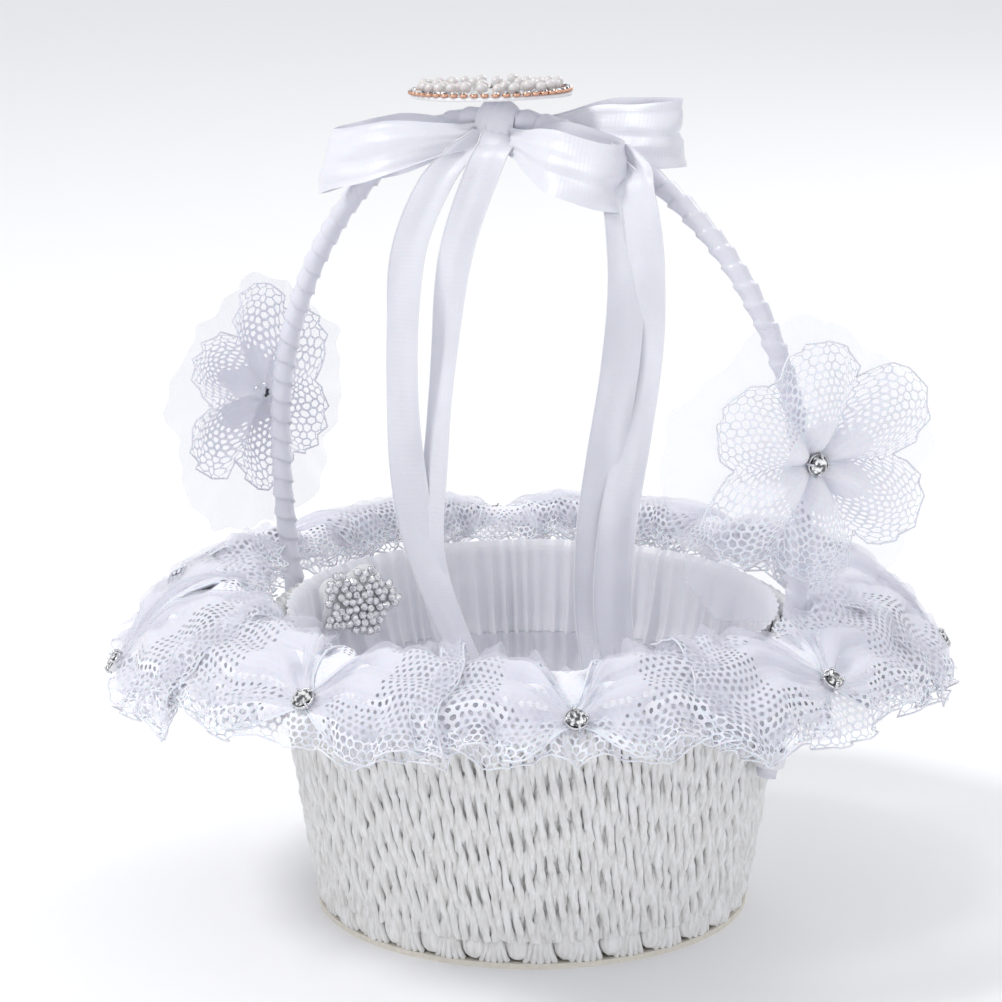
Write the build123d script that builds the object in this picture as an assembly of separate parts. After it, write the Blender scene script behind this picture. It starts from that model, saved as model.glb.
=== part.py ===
from build123d import *
import math
import os

os.makedirs("parts", exist_ok=True)

# A flower girl basket: a round flared basket of twisted paper rope on a wire frame, satin lined,
# with a satin-wrapped arched handle, eight pinched lace bows round the rim, a lace flower on each
# leg, and a satin bow with hanging ribbons and a pearl brooch on top.
# Origin at the centre of the base, +Z up, the handle spans X, the front is -Y. Millimetres.

# ---- basket body ----
BASE_R = 65.5            # outer radius at the floor
RIM_R = 79.5             # outer radius under the rim
WALL_TOP = 90.0          # height of the rim
WALL_T = 4.0             # thickness of the woven wall
BOARD_T = 1.6            # card board under the base
BORDER_TOP = 13.0        # top of the woven foot border
BRAID_H = 6.0            # height of the rim braid
BRAID_OUT = 1.2          # how far the braid and the border stand out
GAP = 0.3                # clearance between separate pieces

# ---- wire frame and lining ----
WIRE_D = 2.4             # base and rim rings
RIB_D = 1.9              # upright wires between the rings
RIBS = 16
LINING_T = 0.8
SEAM_DOWN = 26.0         # the gathered seam is this far below the rim
ELASTIC_D = 1.6
CUSHION_H = 7.0

# ---- handle ----
WRAP_D = 6.6             # outside of the satin wrapping
CORE_D = 4.4
LEG_DOWN = 40.0          # the legs start this far below the rim, outside the wall
LEG_UP = 2.0             # they follow the slope of the wall to this far above the rim
SPRING_UP = 45.0         # the arch starts this far above the rim
ARCH_H = 103.5           # from the springing to the top of the arch
APEX_X = -11.0           # the arch leans this far to the left
ARCH_EVEN = 0.8          # how much rounder or flatter the top is than the sides
BINDINGS_UP = (6.0, 24.0)    # thread bindings, above the foot of a leg
BINDING_H = 5.0

# ---- rim bows ----
RIM_BOW_AT = (-57, -6, 34, 76, 124, 169, 214, 259)   # degrees from the front towards +X
LACE_T = 1.6
ORGANZA_T = 0.8
LAYER_GAP = 0.4
BOW_GAP_DEG = 0.6
COLLAR = ((1.3, 1.0), (6.0, 9.5), (24.5, 6.5), (39.5, -6.5), (47.5, -21.0))   # out, up from rim
PINCH_SEGMENT = (3, 2, 2, 2, 3, 2, 2, 2)             # which slope of the collar holds the stone
STONE_D = 5.6
SETTING_D = 7.0
SETTING_H = 2.4

# ---- leg flowers ----
FLOWER_UP = 57.0         # above the rim
FLOWER_R = {"right": 38.0, "left": 33.0}
FLOWER_FACING = {"right": 55.0, "left": -100.0}       # degrees from the front towards +X
FLOWER_ORGANZA_OVER = 3.0                            # the organza disc is this much larger
FLOWER_CUP = 9.0                                     # how far the petals rise at the edge

# ---- top bow ----
LOOP_W = 19.0            # width of the bow ribbon
LOOP_D = 9.0             # how far the loop stands open
RIBBON_T = 0.8
KNOT = (14.0, 12.0, 15.0)
KNOT_UP = 5.4            # the knot's top above the middle of the handle wire
STREAMER_W = 11.0

# ---- brooches ----
FELT = (53.0, 28.0, 1.2)
BROOCH_TILT = 4.0        # its left end hangs lower
PEARL_D = 3.2
BEAD_D = 2.2
APPLIQUE = (28.0, 22.0)
APPLIQUE_AT = -89.0
APPLIQUE_TURN = 34.0     # one end stands off the lining, so it faces across the basket
APPLIQUE_UP = 6.0        # its top edge above the wall's

SEAM_Z = WALL_TOP - SEAM_DOWN
LEG_FOOT_Z = WALL_TOP - LEG_DOWN
LEG_BEND_Z = WALL_TOP + LEG_UP
SPRING_Z = WALL_TOP + SPRING_UP
FLOWER_Z = WALL_TOP + FLOWER_UP
SLOPE = (RIM_R - BASE_R) / WALL_TOP
TILT = math.degrees(math.atan(SLOPE))


def wall_r(z):
    """Outer radius of the basket at a height."""
    return BASE_R + SLOPE * z


def out_dir(angle):
    """Unit vector at an angle from the front (-Y) towards +X."""
    a = math.radians(angle)
    return Vector(math.sin(a), -math.cos(a), 0)


def turned(points, start=0.0, sweep_deg=360.0):
    """A solid turned about Z from (radius, height) points, from one polar angle over a sweep."""
    face = Plane.XZ * make_face(Polyline(*points, close=True))
    solid = revolve(face, Axis.Z, sweep_deg)
    return Rot(0, 0, start) * solid


def wall_shell(z0, z1, out, inner):
    """A ring that follows the slope of the wall between two offsets from its outer face."""
    return turned([(wall_r(z0) + inner, z0), (wall_r(z0) + out, z0),
                   (wall_r(z1) + out, z1), (wall_r(z1) + inner, z1)])


def ring(radius, z, d):
    return Pos(0, 0, z) * Torus(radius, d / 2)


def facing(point, normal, spin=0.0):
    """Location at a point with its Z along a normal and its X level."""
    z = Vector(*normal).normalized()
    level = Vector(0, 0, 1).cross(z)
    x = level.normalized() if level.length > 1e-6 else Vector(1, 0, 0)
    return Plane(origin=point, x_dir=x, z_dir=z).location * Rot(0, 0, spin)


# ---------------------------------------------------------------- basket body

def base_board():
    return Pos(0, 0, BOARD_T / 2) * Cylinder(BASE_R, BOARD_T)


def foot_border():
    solid = wall_shell(BOARD_T, BORDER_TOP, BRAID_OUT, -WALL_T)
    rim = solid.edges().filter_by(GeomType.CIRCLE).sort_by(lambda e: -e.radius)[0]
    return fillet(rim, BRAID_OUT * 0.8)


def woven_wall():
    return wall_shell(BORDER_TOP, WALL_TOP - BRAID_H, 0, -WALL_T)


def rim_braid():
    solid = wall_shell(WALL_TOP - BRAID_H, WALL_TOP, BRAID_OUT, -WALL_T)
    top = solid.edges().filter_by(GeomType.CIRCLE).sort_by(Axis.Z)[-2:]
    return fillet(top, min(WALL_T, BRAID_H) * 0.4)


def wire_frame():
    inset = WALL_T + GAP + WIRE_D / 2
    low, high = BOARD_T + GAP + WIRE_D / 2, WALL_TOP - BRAID_H / 2
    frame = ring(wall_r(low) - inset, low, WIRE_D) + ring(wall_r(high) - inset, high, WIRE_D)
    length = math.hypot(high - low, SLOPE * (high - low))
    rib = Rot(0, TILT, 0) * Cylinder(RIB_D / 2, length)
    middle = (low + high) / 2
    rib = Pos(wall_r(middle) - inset, 0, middle) * rib
    for i in range(RIBS):
        frame += Rot(0, 0, 360 * (i + 0.5) / RIBS) * rib
    return frame


LINING_OUT = -(WALL_T + WIRE_D + 2 * GAP)
LINING_IN = LINING_OUT - LINING_T


def lining_cup():
    floor = BOARD_T + GAP
    top = SEAM_Z - ELASTIC_D / 2 - 0.1
    outer = turned([(0, floor), (wall_r(floor) + LINING_OUT - 3, floor),
                    (wall_r(floor + 3) + LINING_OUT, floor + 3),
                    (wall_r(top) + LINING_OUT, top), (wall_r(top) + LINING_IN, top),
                    (wall_r(floor + 3) + LINING_IN, floor + 3),
                    (wall_r(floor) + LINING_IN - 2.6, floor + LINING_T), (0, floor + LINING_T)])
    return outer


def lining_band():
    return wall_shell(SEAM_Z + ELASTIC_D / 2 + 0.1, WALL_TOP + 1, LINING_OUT, LINING_IN)


def gather_elastic():
    return ring(wall_r(SEAM_Z) + LINING_OUT - ELASTIC_D / 2, SEAM_Z, ELASTIC_D)


def floor_cushion():
    low = BOARD_T + 2 * GAP + LINING_T
    radius = wall_r(low) + LINING_IN - 3.4
    pad = Pos(0, 0, low + CUSHION_H / 2) * Cylinder(radius, CUSHION_H)
    return fillet(pad.edges(), CUSHION_H * 0.4)


# ---------------------------------------------------------------- handle

def leg_x(z):
    """Middle of a leg where it runs up the outside of the wall."""
    return wall_r(z) + BRAID_OUT + WRAP_D / 2 + 0.4


BEND_R = (SPRING_Z - LEG_BEND_Z) / math.sin(math.radians(TILT))
SPRING_X = leg_x(LEG_BEND_Z) + BEND_R * (1 - math.cos(math.radians(TILT)))


def arch_side(half):
    """Side radius, its angle and top radius for an arch of two tangent arcs with this half span."""
    top_r = half + (half - ARCH_H) * ARCH_EVEN
    drop = ARCH_H - top_r
    side_r = (top_r ** 2 - half ** 2 - drop ** 2) / (2 * (top_r - half))
    sign = 1 if side_r > top_r else -1
    return side_r, math.degrees(math.atan2(sign * drop, sign * (side_r - half))), top_r


def handle_path():
    slope = Vector(SLOPE, 0, 1).normalized()
    start = Vector(leg_x(LEG_FOOT_Z), 0, LEG_FOOT_Z)
    side_right, turn_right, top_right = arch_side(SPRING_X - APEX_X)
    side_left, turn_left, top_left = arch_side(SPRING_X + APEX_X)
    with BuildLine(Plane.XZ) as path:
        Line((start.X, start.Z), (leg_x(LEG_BEND_Z), LEG_BEND_Z))
        JernArc(path.line @ 1, (slope.X, slope.Z), BEND_R, TILT)
        for radius, turn in ((side_right, turn_right), (top_right, 90 - turn_right),
                             (top_left, 90 - turn_left), (side_left, turn_left),
                             (BEND_R, TILT)):
            JernArc(path.line @ 1, path.line % 1, radius, turn)
        Line(path.line @ 1, (-leg_x(LEG_FOOT_Z), LEG_FOOT_Z))
    return path.line


PATH = handle_path()


def along_handle(d):
    start = Plane(origin=PATH @ 0, z_dir=PATH % 0)
    return sweep(start * Circle(d / 2), path=PATH)


def handle_core():
    return along_handle(CORE_D)


def handle_wrap():
    return along_handle(WRAP_D) - along_handle(CORE_D + 0.1)


def foot_bindings():
    """Thread bindings that hold each leg to the outside of the wall."""
    room = (leg_x(0) - wall_r(0)) * math.cos(math.radians(TILT)) - 0.1
    tube = Cylinder(room, BINDING_H) - Cylinder(WRAP_D / 2 + 0.05, BINDING_H + 1)
    pieces = []
    for side in (1, -1):
        for z in (LEG_FOOT_Z + up for up in BINDINGS_UP):
            pieces.append(Pos(side * leg_x(z), 0, z) * Rot(0, side * TILT, 0) * tube)
    return Compound(children=pieces)


# ---------------------------------------------------------------- rim bows

COLLAR_PTS = [(wall_r(WALL_TOP) + BRAID_OUT + out, WALL_TOP + up) for out, up in COLLAR]


def layer_points(depth):
    """The collar's outline moved inwards, under its outer face, by a depth."""
    points = []
    for i, (r, z) in enumerate(COLLAR_PTS):
        before = COLLAR_PTS[max(i - 1, 0)]
        after = COLLAR_PTS[min(i + 1, len(COLLAR_PTS) - 1)]
        dr, dz = after[0] - before[0], after[1] - before[1]
        n = math.hypot(dr, dz)
        points.append((r + depth * dz / n, z - depth * dr / n))
    return points


def bow_span(i):
    """Start and end angle of one rim bow, half way to its neighbours."""
    n = len(RIM_BOW_AT)
    here = RIM_BOW_AT[i]
    before = RIM_BOW_AT[i - 1] - (360 if i == 0 else 0)
    after = RIM_BOW_AT[(i + 1) % n] + (360 if i == n - 1 else 0)
    return (here + before) / 2 + BOW_GAP_DEG / 2, (here + after) / 2 - BOW_GAP_DEG / 2


LEG_NOTCH = along_handle(WRAP_D + 2 * 0.8)


def collar_piece(i, depth, thick):
    start, end = bow_span(i)
    top, under = layer_points(depth), layer_points(depth + thick)
    solid = turned(top + under[::-1], start - 90, end - start)
    return solid - LEG_NOTCH


def pinch(i):
    """Point and outward direction where a stone sits on a rim bow."""
    seg = PINCH_SEGMENT[i]
    (r0, z0), (r1, z1) = COLLAR_PTS[seg], COLLAR_PTS[seg + 1]
    mid_r, mid_z = (r0 + r1) / 2, (z0 + z1) / 2
    out = out_dir(RIM_BOW_AT[i])
    normal = out * (z0 - z1) + Vector(0, 0, r1 - r0)
    return out * mid_r + Vector(0, 0, mid_z), normal


# ---------------------------------------------------------------- leg flowers

ORGANZA_OFF = WRAP_D / 2 + GAP + ORGANZA_T


def flower_place(side):
    sign = 1 if side == "right" else -1
    out = out_dir(FLOWER_FACING[side])
    leg = Vector(sign * SPRING_X, 0, FLOWER_Z)
    return facing(leg + out * ORGANZA_OFF, out)


def flower_organza(side):
    radius = FLOWER_R[side] + FLOWER_ORGANZA_OVER
    return flower_place(side) * Pos(0, 0, -ORGANZA_T / 2) * Cylinder(radius, ORGANZA_T)


def flower_lace(side):
    r = FLOWER_R[side]
    outline = [(0, LAYER_GAP), (r * 0.25, LAYER_GAP), (r, FLOWER_CUP - 1), (r, FLOWER_CUP + 1),
               (r * 0.3, LAYER_GAP + LACE_T), (0, LAYER_GAP + LACE_T)]
    return flower_place(side) * turned(outline)


def flower_centre(side):
    place = flower_place(side) * Pos(0, 0, LAYER_GAP + LACE_T)
    return place.position, out_dir(FLOWER_FACING[side])


# ---------------------------------------------------------------- stones in their settings

STONE_PLACES = [pinch(i) for i in range(len(RIM_BOW_AT))]
STONE_PLACES += [flower_centre("right"), flower_centre("left")]


def setting():
    cup = Pos(0, 0, SETTING_H / 2) * Cylinder(SETTING_D / 2, SETTING_H)
    seat = Pos(0, 0, SETTING_H) * Cylinder(STONE_D / 2 + 0.1, 2 * (SETTING_H - 0.8))
    return cup - seat


def stone():
    r = STONE_D / 2
    return turned([(0, 0.9), (r * 0.5, 0.9), (r, 2.2), (r, 2.5), (r * 0.6, 3.5), (0, 3.5)])


def at_stones(piece):
    return Compound(children=[facing(p, n) * Pos(0, 0, 0.05) * piece for p, n in STONE_PLACES])


# ---------------------------------------------------------------- top bow and its ribbons

TOP_Z = SPRING_Z + ARCH_H
# name: (inner end x, outer end x, middle y, inner z, outer z)
LOOPS = {
    "bow_loop_left": (APEX_X - KNOT[0] / 2 - GAP, APEX_X - 52, -9.5, TOP_Z - 5, TOP_Z - 16),
    "bow_loop_right_front": (APEX_X + KNOT[0] / 2 + GAP, APEX_X + 45, -10.5, TOP_Z - 5.5, TOP_Z - 13),
    "bow_loop_right_back": (APEX_X + KNOT[0] / 2 + GAP, APEX_X + 54, 10.0, TOP_Z - 4.5, TOP_Z - 2),
}


def bow_loop(x0, x1, y, z0, z1):
    """A ribbon loop: a flat racetrack ring standing on edge, sloping down to its outer end."""
    length = abs(x1 - x0)
    outer = SlotOverall(length, LOOP_D)
    inner = SlotOverall(length - 2 * RIBBON_T, LOOP_D - 2 * RIBBON_T)
    loop = extrude(outer - inner, LOOP_W / 2, both=True)
    turn = math.degrees(math.atan2(z0 - z1, x1 - x0))
    if x1 < x0:
        turn = -math.degrees(math.atan2(z0 - z1, x0 - x1))
    return Pos((x0 + x1) / 2, y, (z0 + z1) / 2) * Rot(0, turn, 0) * loop


def bow_knot():
    size_x, size_y, size_z = KNOT
    middle = TOP_Z + KNOT_UP - size_z / 2
    block = fillet(Box(size_x, size_y, size_z).edges(), 2.5)
    return Pos(APEX_X, 0, middle) * block - along_handle(WRAP_D + 2 * GAP)


# each hanging ribbon: the y it hangs at, and its middle line as (x, below the top of the arch)
STREAMERS = {
    "streamer_1": (-17.5, ((-25, 18), (-31, 38), (-34, 63), (-35, 92), (-31, 120), (-23, 140), (-12, 162))),
    "streamer_2": (-15.5, ((-9, 12), (-17, 38), (-22, 68), (-25, 98), (-26, 128), (-20, 150), (-12, 168))),
    "streamer_3": (-17.5, ((41, 16), (45, 36), (45, 62), (42, 88), (38, 114), (36, 140), (40, 166))),
    "streamer_4": (-19.5, ((36, 18), (40, 40), (39, 66), (35, 92), (31, 118), (30, 144), (34, 170))),
}


def streamer(y, drops):
    """A flat hanging ribbon that keeps its width along its middle line."""
    line = [(x, TOP_Z - drop) for x, drop in drops]
    left, right = [], []
    for i, (x, z) in enumerate(line):
        ax, az = line[max(i - 1, 0)]
        bx, bz = line[min(i + 1, len(line) - 1)]
        n = math.hypot(bx - ax, bz - az)
        nx, nz = -(bz - az) / n * STREAMER_W / 2, (bx - ax) / n * STREAMER_W / 2
        left.append((x + nx, z + nz))
        right.append((x - nx, z - nz))
    face = make_face(Polyline(*left, *right[::-1], close=True))
    return Pos(0, y, 0) * extrude(Plane.XZ * face, RIBBON_T / 2, both=True)


# ---------------------------------------------------------------- brooch and rim applique

BROOCH = Pos(APEX_X - 3.0, 0, TOP_Z + KNOT_UP + GAP + 0.3) * Rot(0, -BROOCH_TILT, 0)


def spray(length, width):
    """Middle points of the pearls on the brooch: a ring just inside its chain edge."""
    points = []
    reach = length / 2 - 4.5
    for side in (-1, 1):
        for i in range(7):
            x = side * (1.8 + i * (reach - 4.0) / 6)
            half = (width / 2 - 4.5) * math.sqrt(1 - (x / reach) ** 2)
            points += [(x, half), (x, -half)]
    return points


def brooch_felt():
    length, width, t = FELT
    plate = extrude(Ellipse(length / 2, width / 2), t)
    return BROOCH * plate


def brooch_chain():
    length, width, t = FELT
    edge = Ellipse(length / 2 - 0.3, width / 2 - 0.3) - Ellipse(length / 2 - 2.1, width / 2 - 2.1)
    return BROOCH * Pos(0, 0, t) * extrude(edge, 1.5)


def brooch_pearls():
    length, width, t = FELT
    z = t + PEARL_D / 2
    spots = spray(length, width)
    return Compound(children=[BROOCH * Pos(x, y, z) * Sphere(PEARL_D / 2) for x, y in spots])


def brooch_stones():
    length, width, t = FELT
    z = t + BEAD_D / 2
    spots = [(x, 0.0) for x in (-15.0, -11.0, -7.0, -3.0, 1.0, 5.0, 9.0, 13.0)]
    return Compound(children=[BROOCH * Pos(x, y, z) * Sphere(BEAD_D / 2) for x, y in spots])


def applique_place():
    """On the inside of the lining band, leaning with the wall."""
    z = WALL_TOP + APPLIQUE_UP - APPLIQUE[1] / 2
    half = APPLIQUE[0] / 2
    flat_r = math.sqrt((wall_r(z - APPLIQUE[1] / 2) + LINING_IN - GAP) ** 2 - half ** 2)
    r = flat_r + SLOPE * APPLIQUE[1] / 2 - 1.0 - half * math.sin(math.radians(APPLIQUE_TURN))
    out = out_dir(APPLIQUE_AT)
    inward = out_dir(APPLIQUE_AT + 180 - APPLIQUE_TURN) + Vector(0, 0, SLOPE)
    return facing(out * r + Vector(0, 0, z), inward)


def applique_backing():
    return applique_place() * extrude(Ellipse(APPLIQUE[0] / 2, APPLIQUE[1] / 2), -1.0)


def applique_stones():
    stones = []
    for row in range(-4, 5):
        for col in range(-5, 6):
            x = col * 2.9 + (row % 2) * 1.45
            y = row * 2.55
            if (x / (APPLIQUE[0] / 2 - 1.5)) ** 2 + (y / (APPLIQUE[1] / 2 - 1.5)) ** 2 < 1:
                stones.append(applique_place() * Pos(x, y, BEAD_D / 2) * Sphere(BEAD_D / 2))
    return Compound(children=stones)


# ---------------------------------------------------------------- write every node

NODES = {
    "base_board": base_board(),
    "foot_border": foot_border(),
    "woven_wall": woven_wall(),
    "rim_braid": rim_braid(),
    "wire_frame": wire_frame(),
    "lining_cup": lining_cup(),
    "lining_band": lining_band(),
    "gather_elastic": gather_elastic(),
    "floor_cushion": floor_cushion(),
    "handle_core": handle_core(),
    "handle_wrap": handle_wrap(),
    "foot_bindings": foot_bindings(),
    "stone_settings": at_stones(setting()),
    "stones": at_stones(stone()),
    "bow_knot": bow_knot(),
    "brooch_felt": brooch_felt(),
    "brooch_chain": brooch_chain(),
    "brooch_pearls": brooch_pearls(),
    "brooch_stones": brooch_stones(),
    "applique_backing": applique_backing(),
    "applique_stones": applique_stones(),
}
for side in ("left", "right"):
    NODES[f"flower_lace_{side}"] = flower_lace(side)
    NODES[f"flower_organza_{side}"] = flower_organza(side)
for i in range(len(RIM_BOW_AT)):
    NODES[f"rim_lace_{i + 1}"] = collar_piece(i, 0, LACE_T)
    NODES[f"rim_organza_{i + 1}"] = collar_piece(i, LACE_T + LAYER_GAP, ORGANZA_T)
for name, (x0, x1, y, z0, z1) in LOOPS.items():
    NODES[name] = bow_loop(x0, x1, y, z0, z1)
for name, (y, drops) in STREAMERS.items():
    NODES[name] = streamer(y, drops)

for name, solid in NODES.items():
    export_step(solid, f"parts/{name}.step")
print(len(NODES), "nodes, handle springs at x", round(SPRING_X, 1), "and tops out at", TOP_Z)
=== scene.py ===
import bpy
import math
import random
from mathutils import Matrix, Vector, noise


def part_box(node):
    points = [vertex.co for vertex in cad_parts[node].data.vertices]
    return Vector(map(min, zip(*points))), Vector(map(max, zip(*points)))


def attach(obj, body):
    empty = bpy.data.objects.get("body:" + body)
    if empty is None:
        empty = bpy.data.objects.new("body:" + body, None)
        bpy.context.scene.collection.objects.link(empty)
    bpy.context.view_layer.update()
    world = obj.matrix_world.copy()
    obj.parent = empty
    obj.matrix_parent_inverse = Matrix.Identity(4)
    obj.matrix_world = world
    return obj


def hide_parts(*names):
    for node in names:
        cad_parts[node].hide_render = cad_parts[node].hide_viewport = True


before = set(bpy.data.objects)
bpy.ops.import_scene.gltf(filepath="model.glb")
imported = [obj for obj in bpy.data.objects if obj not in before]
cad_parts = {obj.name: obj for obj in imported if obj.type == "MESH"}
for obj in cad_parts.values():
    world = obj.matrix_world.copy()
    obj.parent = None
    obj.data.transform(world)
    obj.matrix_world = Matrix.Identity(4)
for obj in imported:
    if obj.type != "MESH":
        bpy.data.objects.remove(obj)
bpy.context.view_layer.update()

# %% [markdown]
# # A flower girl basket
# The basket stands on a small card base. Its wall is twisted paper rope, its rim carries eight
# pinched bows of net lace over organza, and a satin-wrapped arch holds two lace flowers, a ribbon
# bow with hanging tails and a pearl brooch. The imported frame gives every size, so its parts are
# read in first, with their placing baked into their points, before anything is added to it.

MM = 0.001
ROOT = "root"

# %% [markdown]
# The camera comes first, because how far the eye is from the basket decides how the near side
# swells. A long lens from a little over a metre away, fifteen degrees up and turned to the right
# so that the near leg is on the right, gives a calm view with little perspective.

# %% Camera
TURN = math.radians(28)
LIFT = math.radians(15)
DISTANCE = 1.15
AIM = Vector((0, 0, 0.110))


def make_camera():
    data = bpy.data.cameras.new("camera")
    data.lens = 137.7
    data.sensor_width = 36
    data.shift_x = -0.0315
    data.shift_y = 0.0449
    data.clip_start = 0.05
    obj = bpy.data.objects.new("camera", data)
    bpy.context.scene.collection.objects.link(obj)
    back = Vector((math.sin(TURN) * math.cos(LIFT), -math.cos(TURN) * math.cos(LIFT), math.sin(LIFT)))
    obj.location = AIM + back * DISTANCE
    obj.rotation_euler = (-back).to_track_quat("-Z", "Y").to_euler()
    bpy.context.scene.camera = obj
    return obj


camera = make_camera()
print("camera at", [round(v, 3) for v in camera.location])

# %% [markdown]
# White fabric needs soft light from one side more than the other: with the same light all round,
# folds vanish. One broad lamp stands high on the left front, a weaker one low on the right, and
# the world fills the rest. The floor is plain and pale.

# %% Floor and light


def make_lamp(name, place, size, power, colour=(1, 1, 1)):
    data = bpy.data.lights.new(name, "AREA")
    data.shape = "DISK"
    data.size = size
    data.energy = power
    data.color = colour
    obj = bpy.data.objects.new(name, data)
    bpy.context.scene.collection.objects.link(obj)
    obj.location = place
    obj.rotation_euler = (Vector((0, 0, 0.1)) - Vector(place)).to_track_quat("-Z", "Y").to_euler()
    return obj


def make_floor():
    mesh = bpy.data.meshes.new("floor")
    half = 3.0
    corners = [(-half, -half, 0), (half, -half, 0), (half, half, 0), (-half, half, 0)]
    mesh.from_pydata(corners, [], [(0, 1, 2, 3)])
    obj = bpy.data.objects.new("floor", mesh)
    bpy.context.scene.collection.objects.link(obj)
    paint = bpy.data.materials.new("floor_white")
    paint.use_nodes = True
    shader = paint.node_tree.nodes["Principled BSDF"]
    shader.inputs["Base Color"].default_value = (0.93, 0.93, 0.94, 1)
    shader.inputs["Roughness"].default_value = 0.9
    mesh.materials.append(paint)
    return obj


world = bpy.data.worlds.new("studio")
bpy.context.scene.world = world
world.use_nodes = True
world.node_tree.nodes["Background"].inputs["Color"].default_value = (0.97, 0.98, 1.0, 1)
world.node_tree.nodes["Background"].inputs["Strength"].default_value = 0.80
make_floor()
make_lamp("key", (-0.8, -0.8, 1.5), 0.45, 13, (1.0, 0.99, 0.97))
make_lamp("fill", (1.3, -0.7, 0.6), 0.9, 1.5, (0.92, 0.94, 1.0))
make_lamp("back", (0.3, 1.4, 1.1), 0.8, 6)
bpy.context.scene.view_settings.view_transform = "Standard"

# %% [markdown]
# Every finish starts from the same few steps, so they are helpers: add a node, join two sockets,
# and read a noise at a given size in millimetres. Object coordinates are used because every piece
# sits unturned at the origin, so a pattern keeps its real size on all of them.

# %% Material helpers


def new_material(name, colour, rough, alpha=1.0, **sockets):
    """A Principled material with its constants set on its own sockets."""
    mat = bpy.data.materials.new(name)
    mat.use_nodes = True
    shader = mat.node_tree.nodes["Principled BSDF"]
    shader.inputs["Base Color"].default_value = (*colour, 1)
    shader.inputs["Roughness"].default_value = rough
    shader.inputs["Alpha"].default_value = alpha
    for key, value in sockets.items():
        shader.inputs[key.replace("_", " ")].default_value = value
    return mat


def add_node(mat, kind, **values):
    node = mat.node_tree.nodes.new(kind)
    for key, value in values.items():
        if key in node.inputs:
            node.inputs[key].default_value = value
        else:
            setattr(node, key, value)
    return node


def join(mat, a, b):
    mat.node_tree.links.new(a, b)


def coords(mat, scale=(1, 1, 1), output="Object"):
    """Texture coordinates stretched by a scale, in turns per metre for Object."""
    source = add_node(mat, "ShaderNodeTexCoord")
    mapping = add_node(mat, "ShaderNodeMapping")
    mapping.inputs["Scale"].default_value = scale
    join(mat, source.outputs[output], mapping.inputs["Vector"])
    return mapping.outputs["Vector"]


def noise_of(mat, vector, size=1.0, detail=3.0):
    node = add_node(mat, "ShaderNodeTexNoise", Scale=size, Detail=detail)
    join(mat, vector, node.inputs["Vector"])
    return node.outputs["Fac"]


def tint(mat, factor, dark, light, low=0.3, high=0.7):
    """Base Color runs from dark to light as the factor runs from low to high."""
    ramp = add_node(mat, "ShaderNodeValToRGB")
    ramp.color_ramp.elements[0].position = low
    ramp.color_ramp.elements[1].position = high
    ramp.color_ramp.elements[0].color = (*dark, 1)
    ramp.color_ramp.elements[1].color = (*light, 1)
    join(mat, factor, ramp.inputs["Fac"])
    join(mat, ramp.outputs["Color"], mat.node_tree.nodes["Principled BSDF"].inputs["Base Color"])


def bump(mat, height, strength=0.5, distance=0.0003, onto=None):
    node = add_node(mat, "ShaderNodeBump", Strength=strength, Distance=distance)
    join(mat, height, node.inputs["Height"])
    if onto is not None:
        join(mat, onto, node.inputs["Normal"])
    join(mat, node.outputs["Normal"], mat.node_tree.nodes["Principled BSDF"].inputs["Normal"])
    return node.outputs["Normal"]


# %% [markdown]
# Cloth of every kind here has threads that cross. A shared node group makes that weave once: two
# sine waves at right angles over a UV map measured in metres, so that one thread keeps its real
# width on a narrow ribbon and on a wide lining. Each cloth then sets its own thread count.

# %% A shared weave


def make_weave_group():
    group = bpy.data.node_groups.new("thread_weave", "ShaderNodeTree")
    group.interface.new_socket("Vector", in_out="INPUT", socket_type="NodeSocketVector")
    across = group.interface.new_socket("Across per metre", in_out="INPUT", socket_type="NodeSocketFloat")
    along = group.interface.new_socket("Along per metre", in_out="INPUT", socket_type="NodeSocketFloat")
    group.interface.new_socket("Height", in_out="OUTPUT", socket_type="NodeSocketFloat")
    across.default_value = 4000
    along.default_value = 9000
    nodes, links = group.nodes, group.links
    inside = nodes.new("NodeGroupInput")
    outside = nodes.new("NodeGroupOutput")
    split = nodes.new("ShaderNodeSeparateXYZ")
    links.new(inside.outputs["Vector"], split.inputs[0])
    waves = []
    for axis, count in (("X", "Across per metre"), ("Y", "Along per metre")):
        times = nodes.new("ShaderNodeMath")
        times.operation = "MULTIPLY"
        links.new(split.outputs[axis], times.inputs[0])
        links.new(inside.outputs[count], times.inputs[1])
        wave = nodes.new("ShaderNodeMath")
        wave.operation = "SINE"
        links.new(times.outputs[0], wave.inputs[0])
        waves.append(wave.outputs[0])
    both = nodes.new("ShaderNodeMath")
    both.operation = "ADD"
    links.new(waves[0], both.inputs[0])
    links.new(waves[1], both.inputs[1])
    links.new(both.outputs[0], outside.inputs["Height"])
    return group


WEAVE = make_weave_group()


def weave(mat, across, along):
    """Threads per metre over the piece's UV map, as a height."""
    node = add_node(mat, "ShaderNodeGroup")
    node.node_tree = WEAVE
    node.inputs["Across per metre"].default_value = across * math.tau
    node.inputs["Along per metre"].default_value = along * math.tau
    uv = add_node(mat, "ShaderNodeTexCoord")
    join(mat, uv.outputs["UV"], node.inputs["Vector"])
    return node.outputs["Height"]


print("weave group", [s.name for s in WEAVE.interface.items_tree])

# %% [markdown]
# The satin is white with a cool, faintly lilac cast. Satin floats its threads, so it is smoother
# along the ribbon than across it; a low roughness with a soft sheen gives the broad bright bands,
# and the fine cross weave breaks them up. Organza is the same white, thin enough to see through.

# %% Cloth finishes


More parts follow.
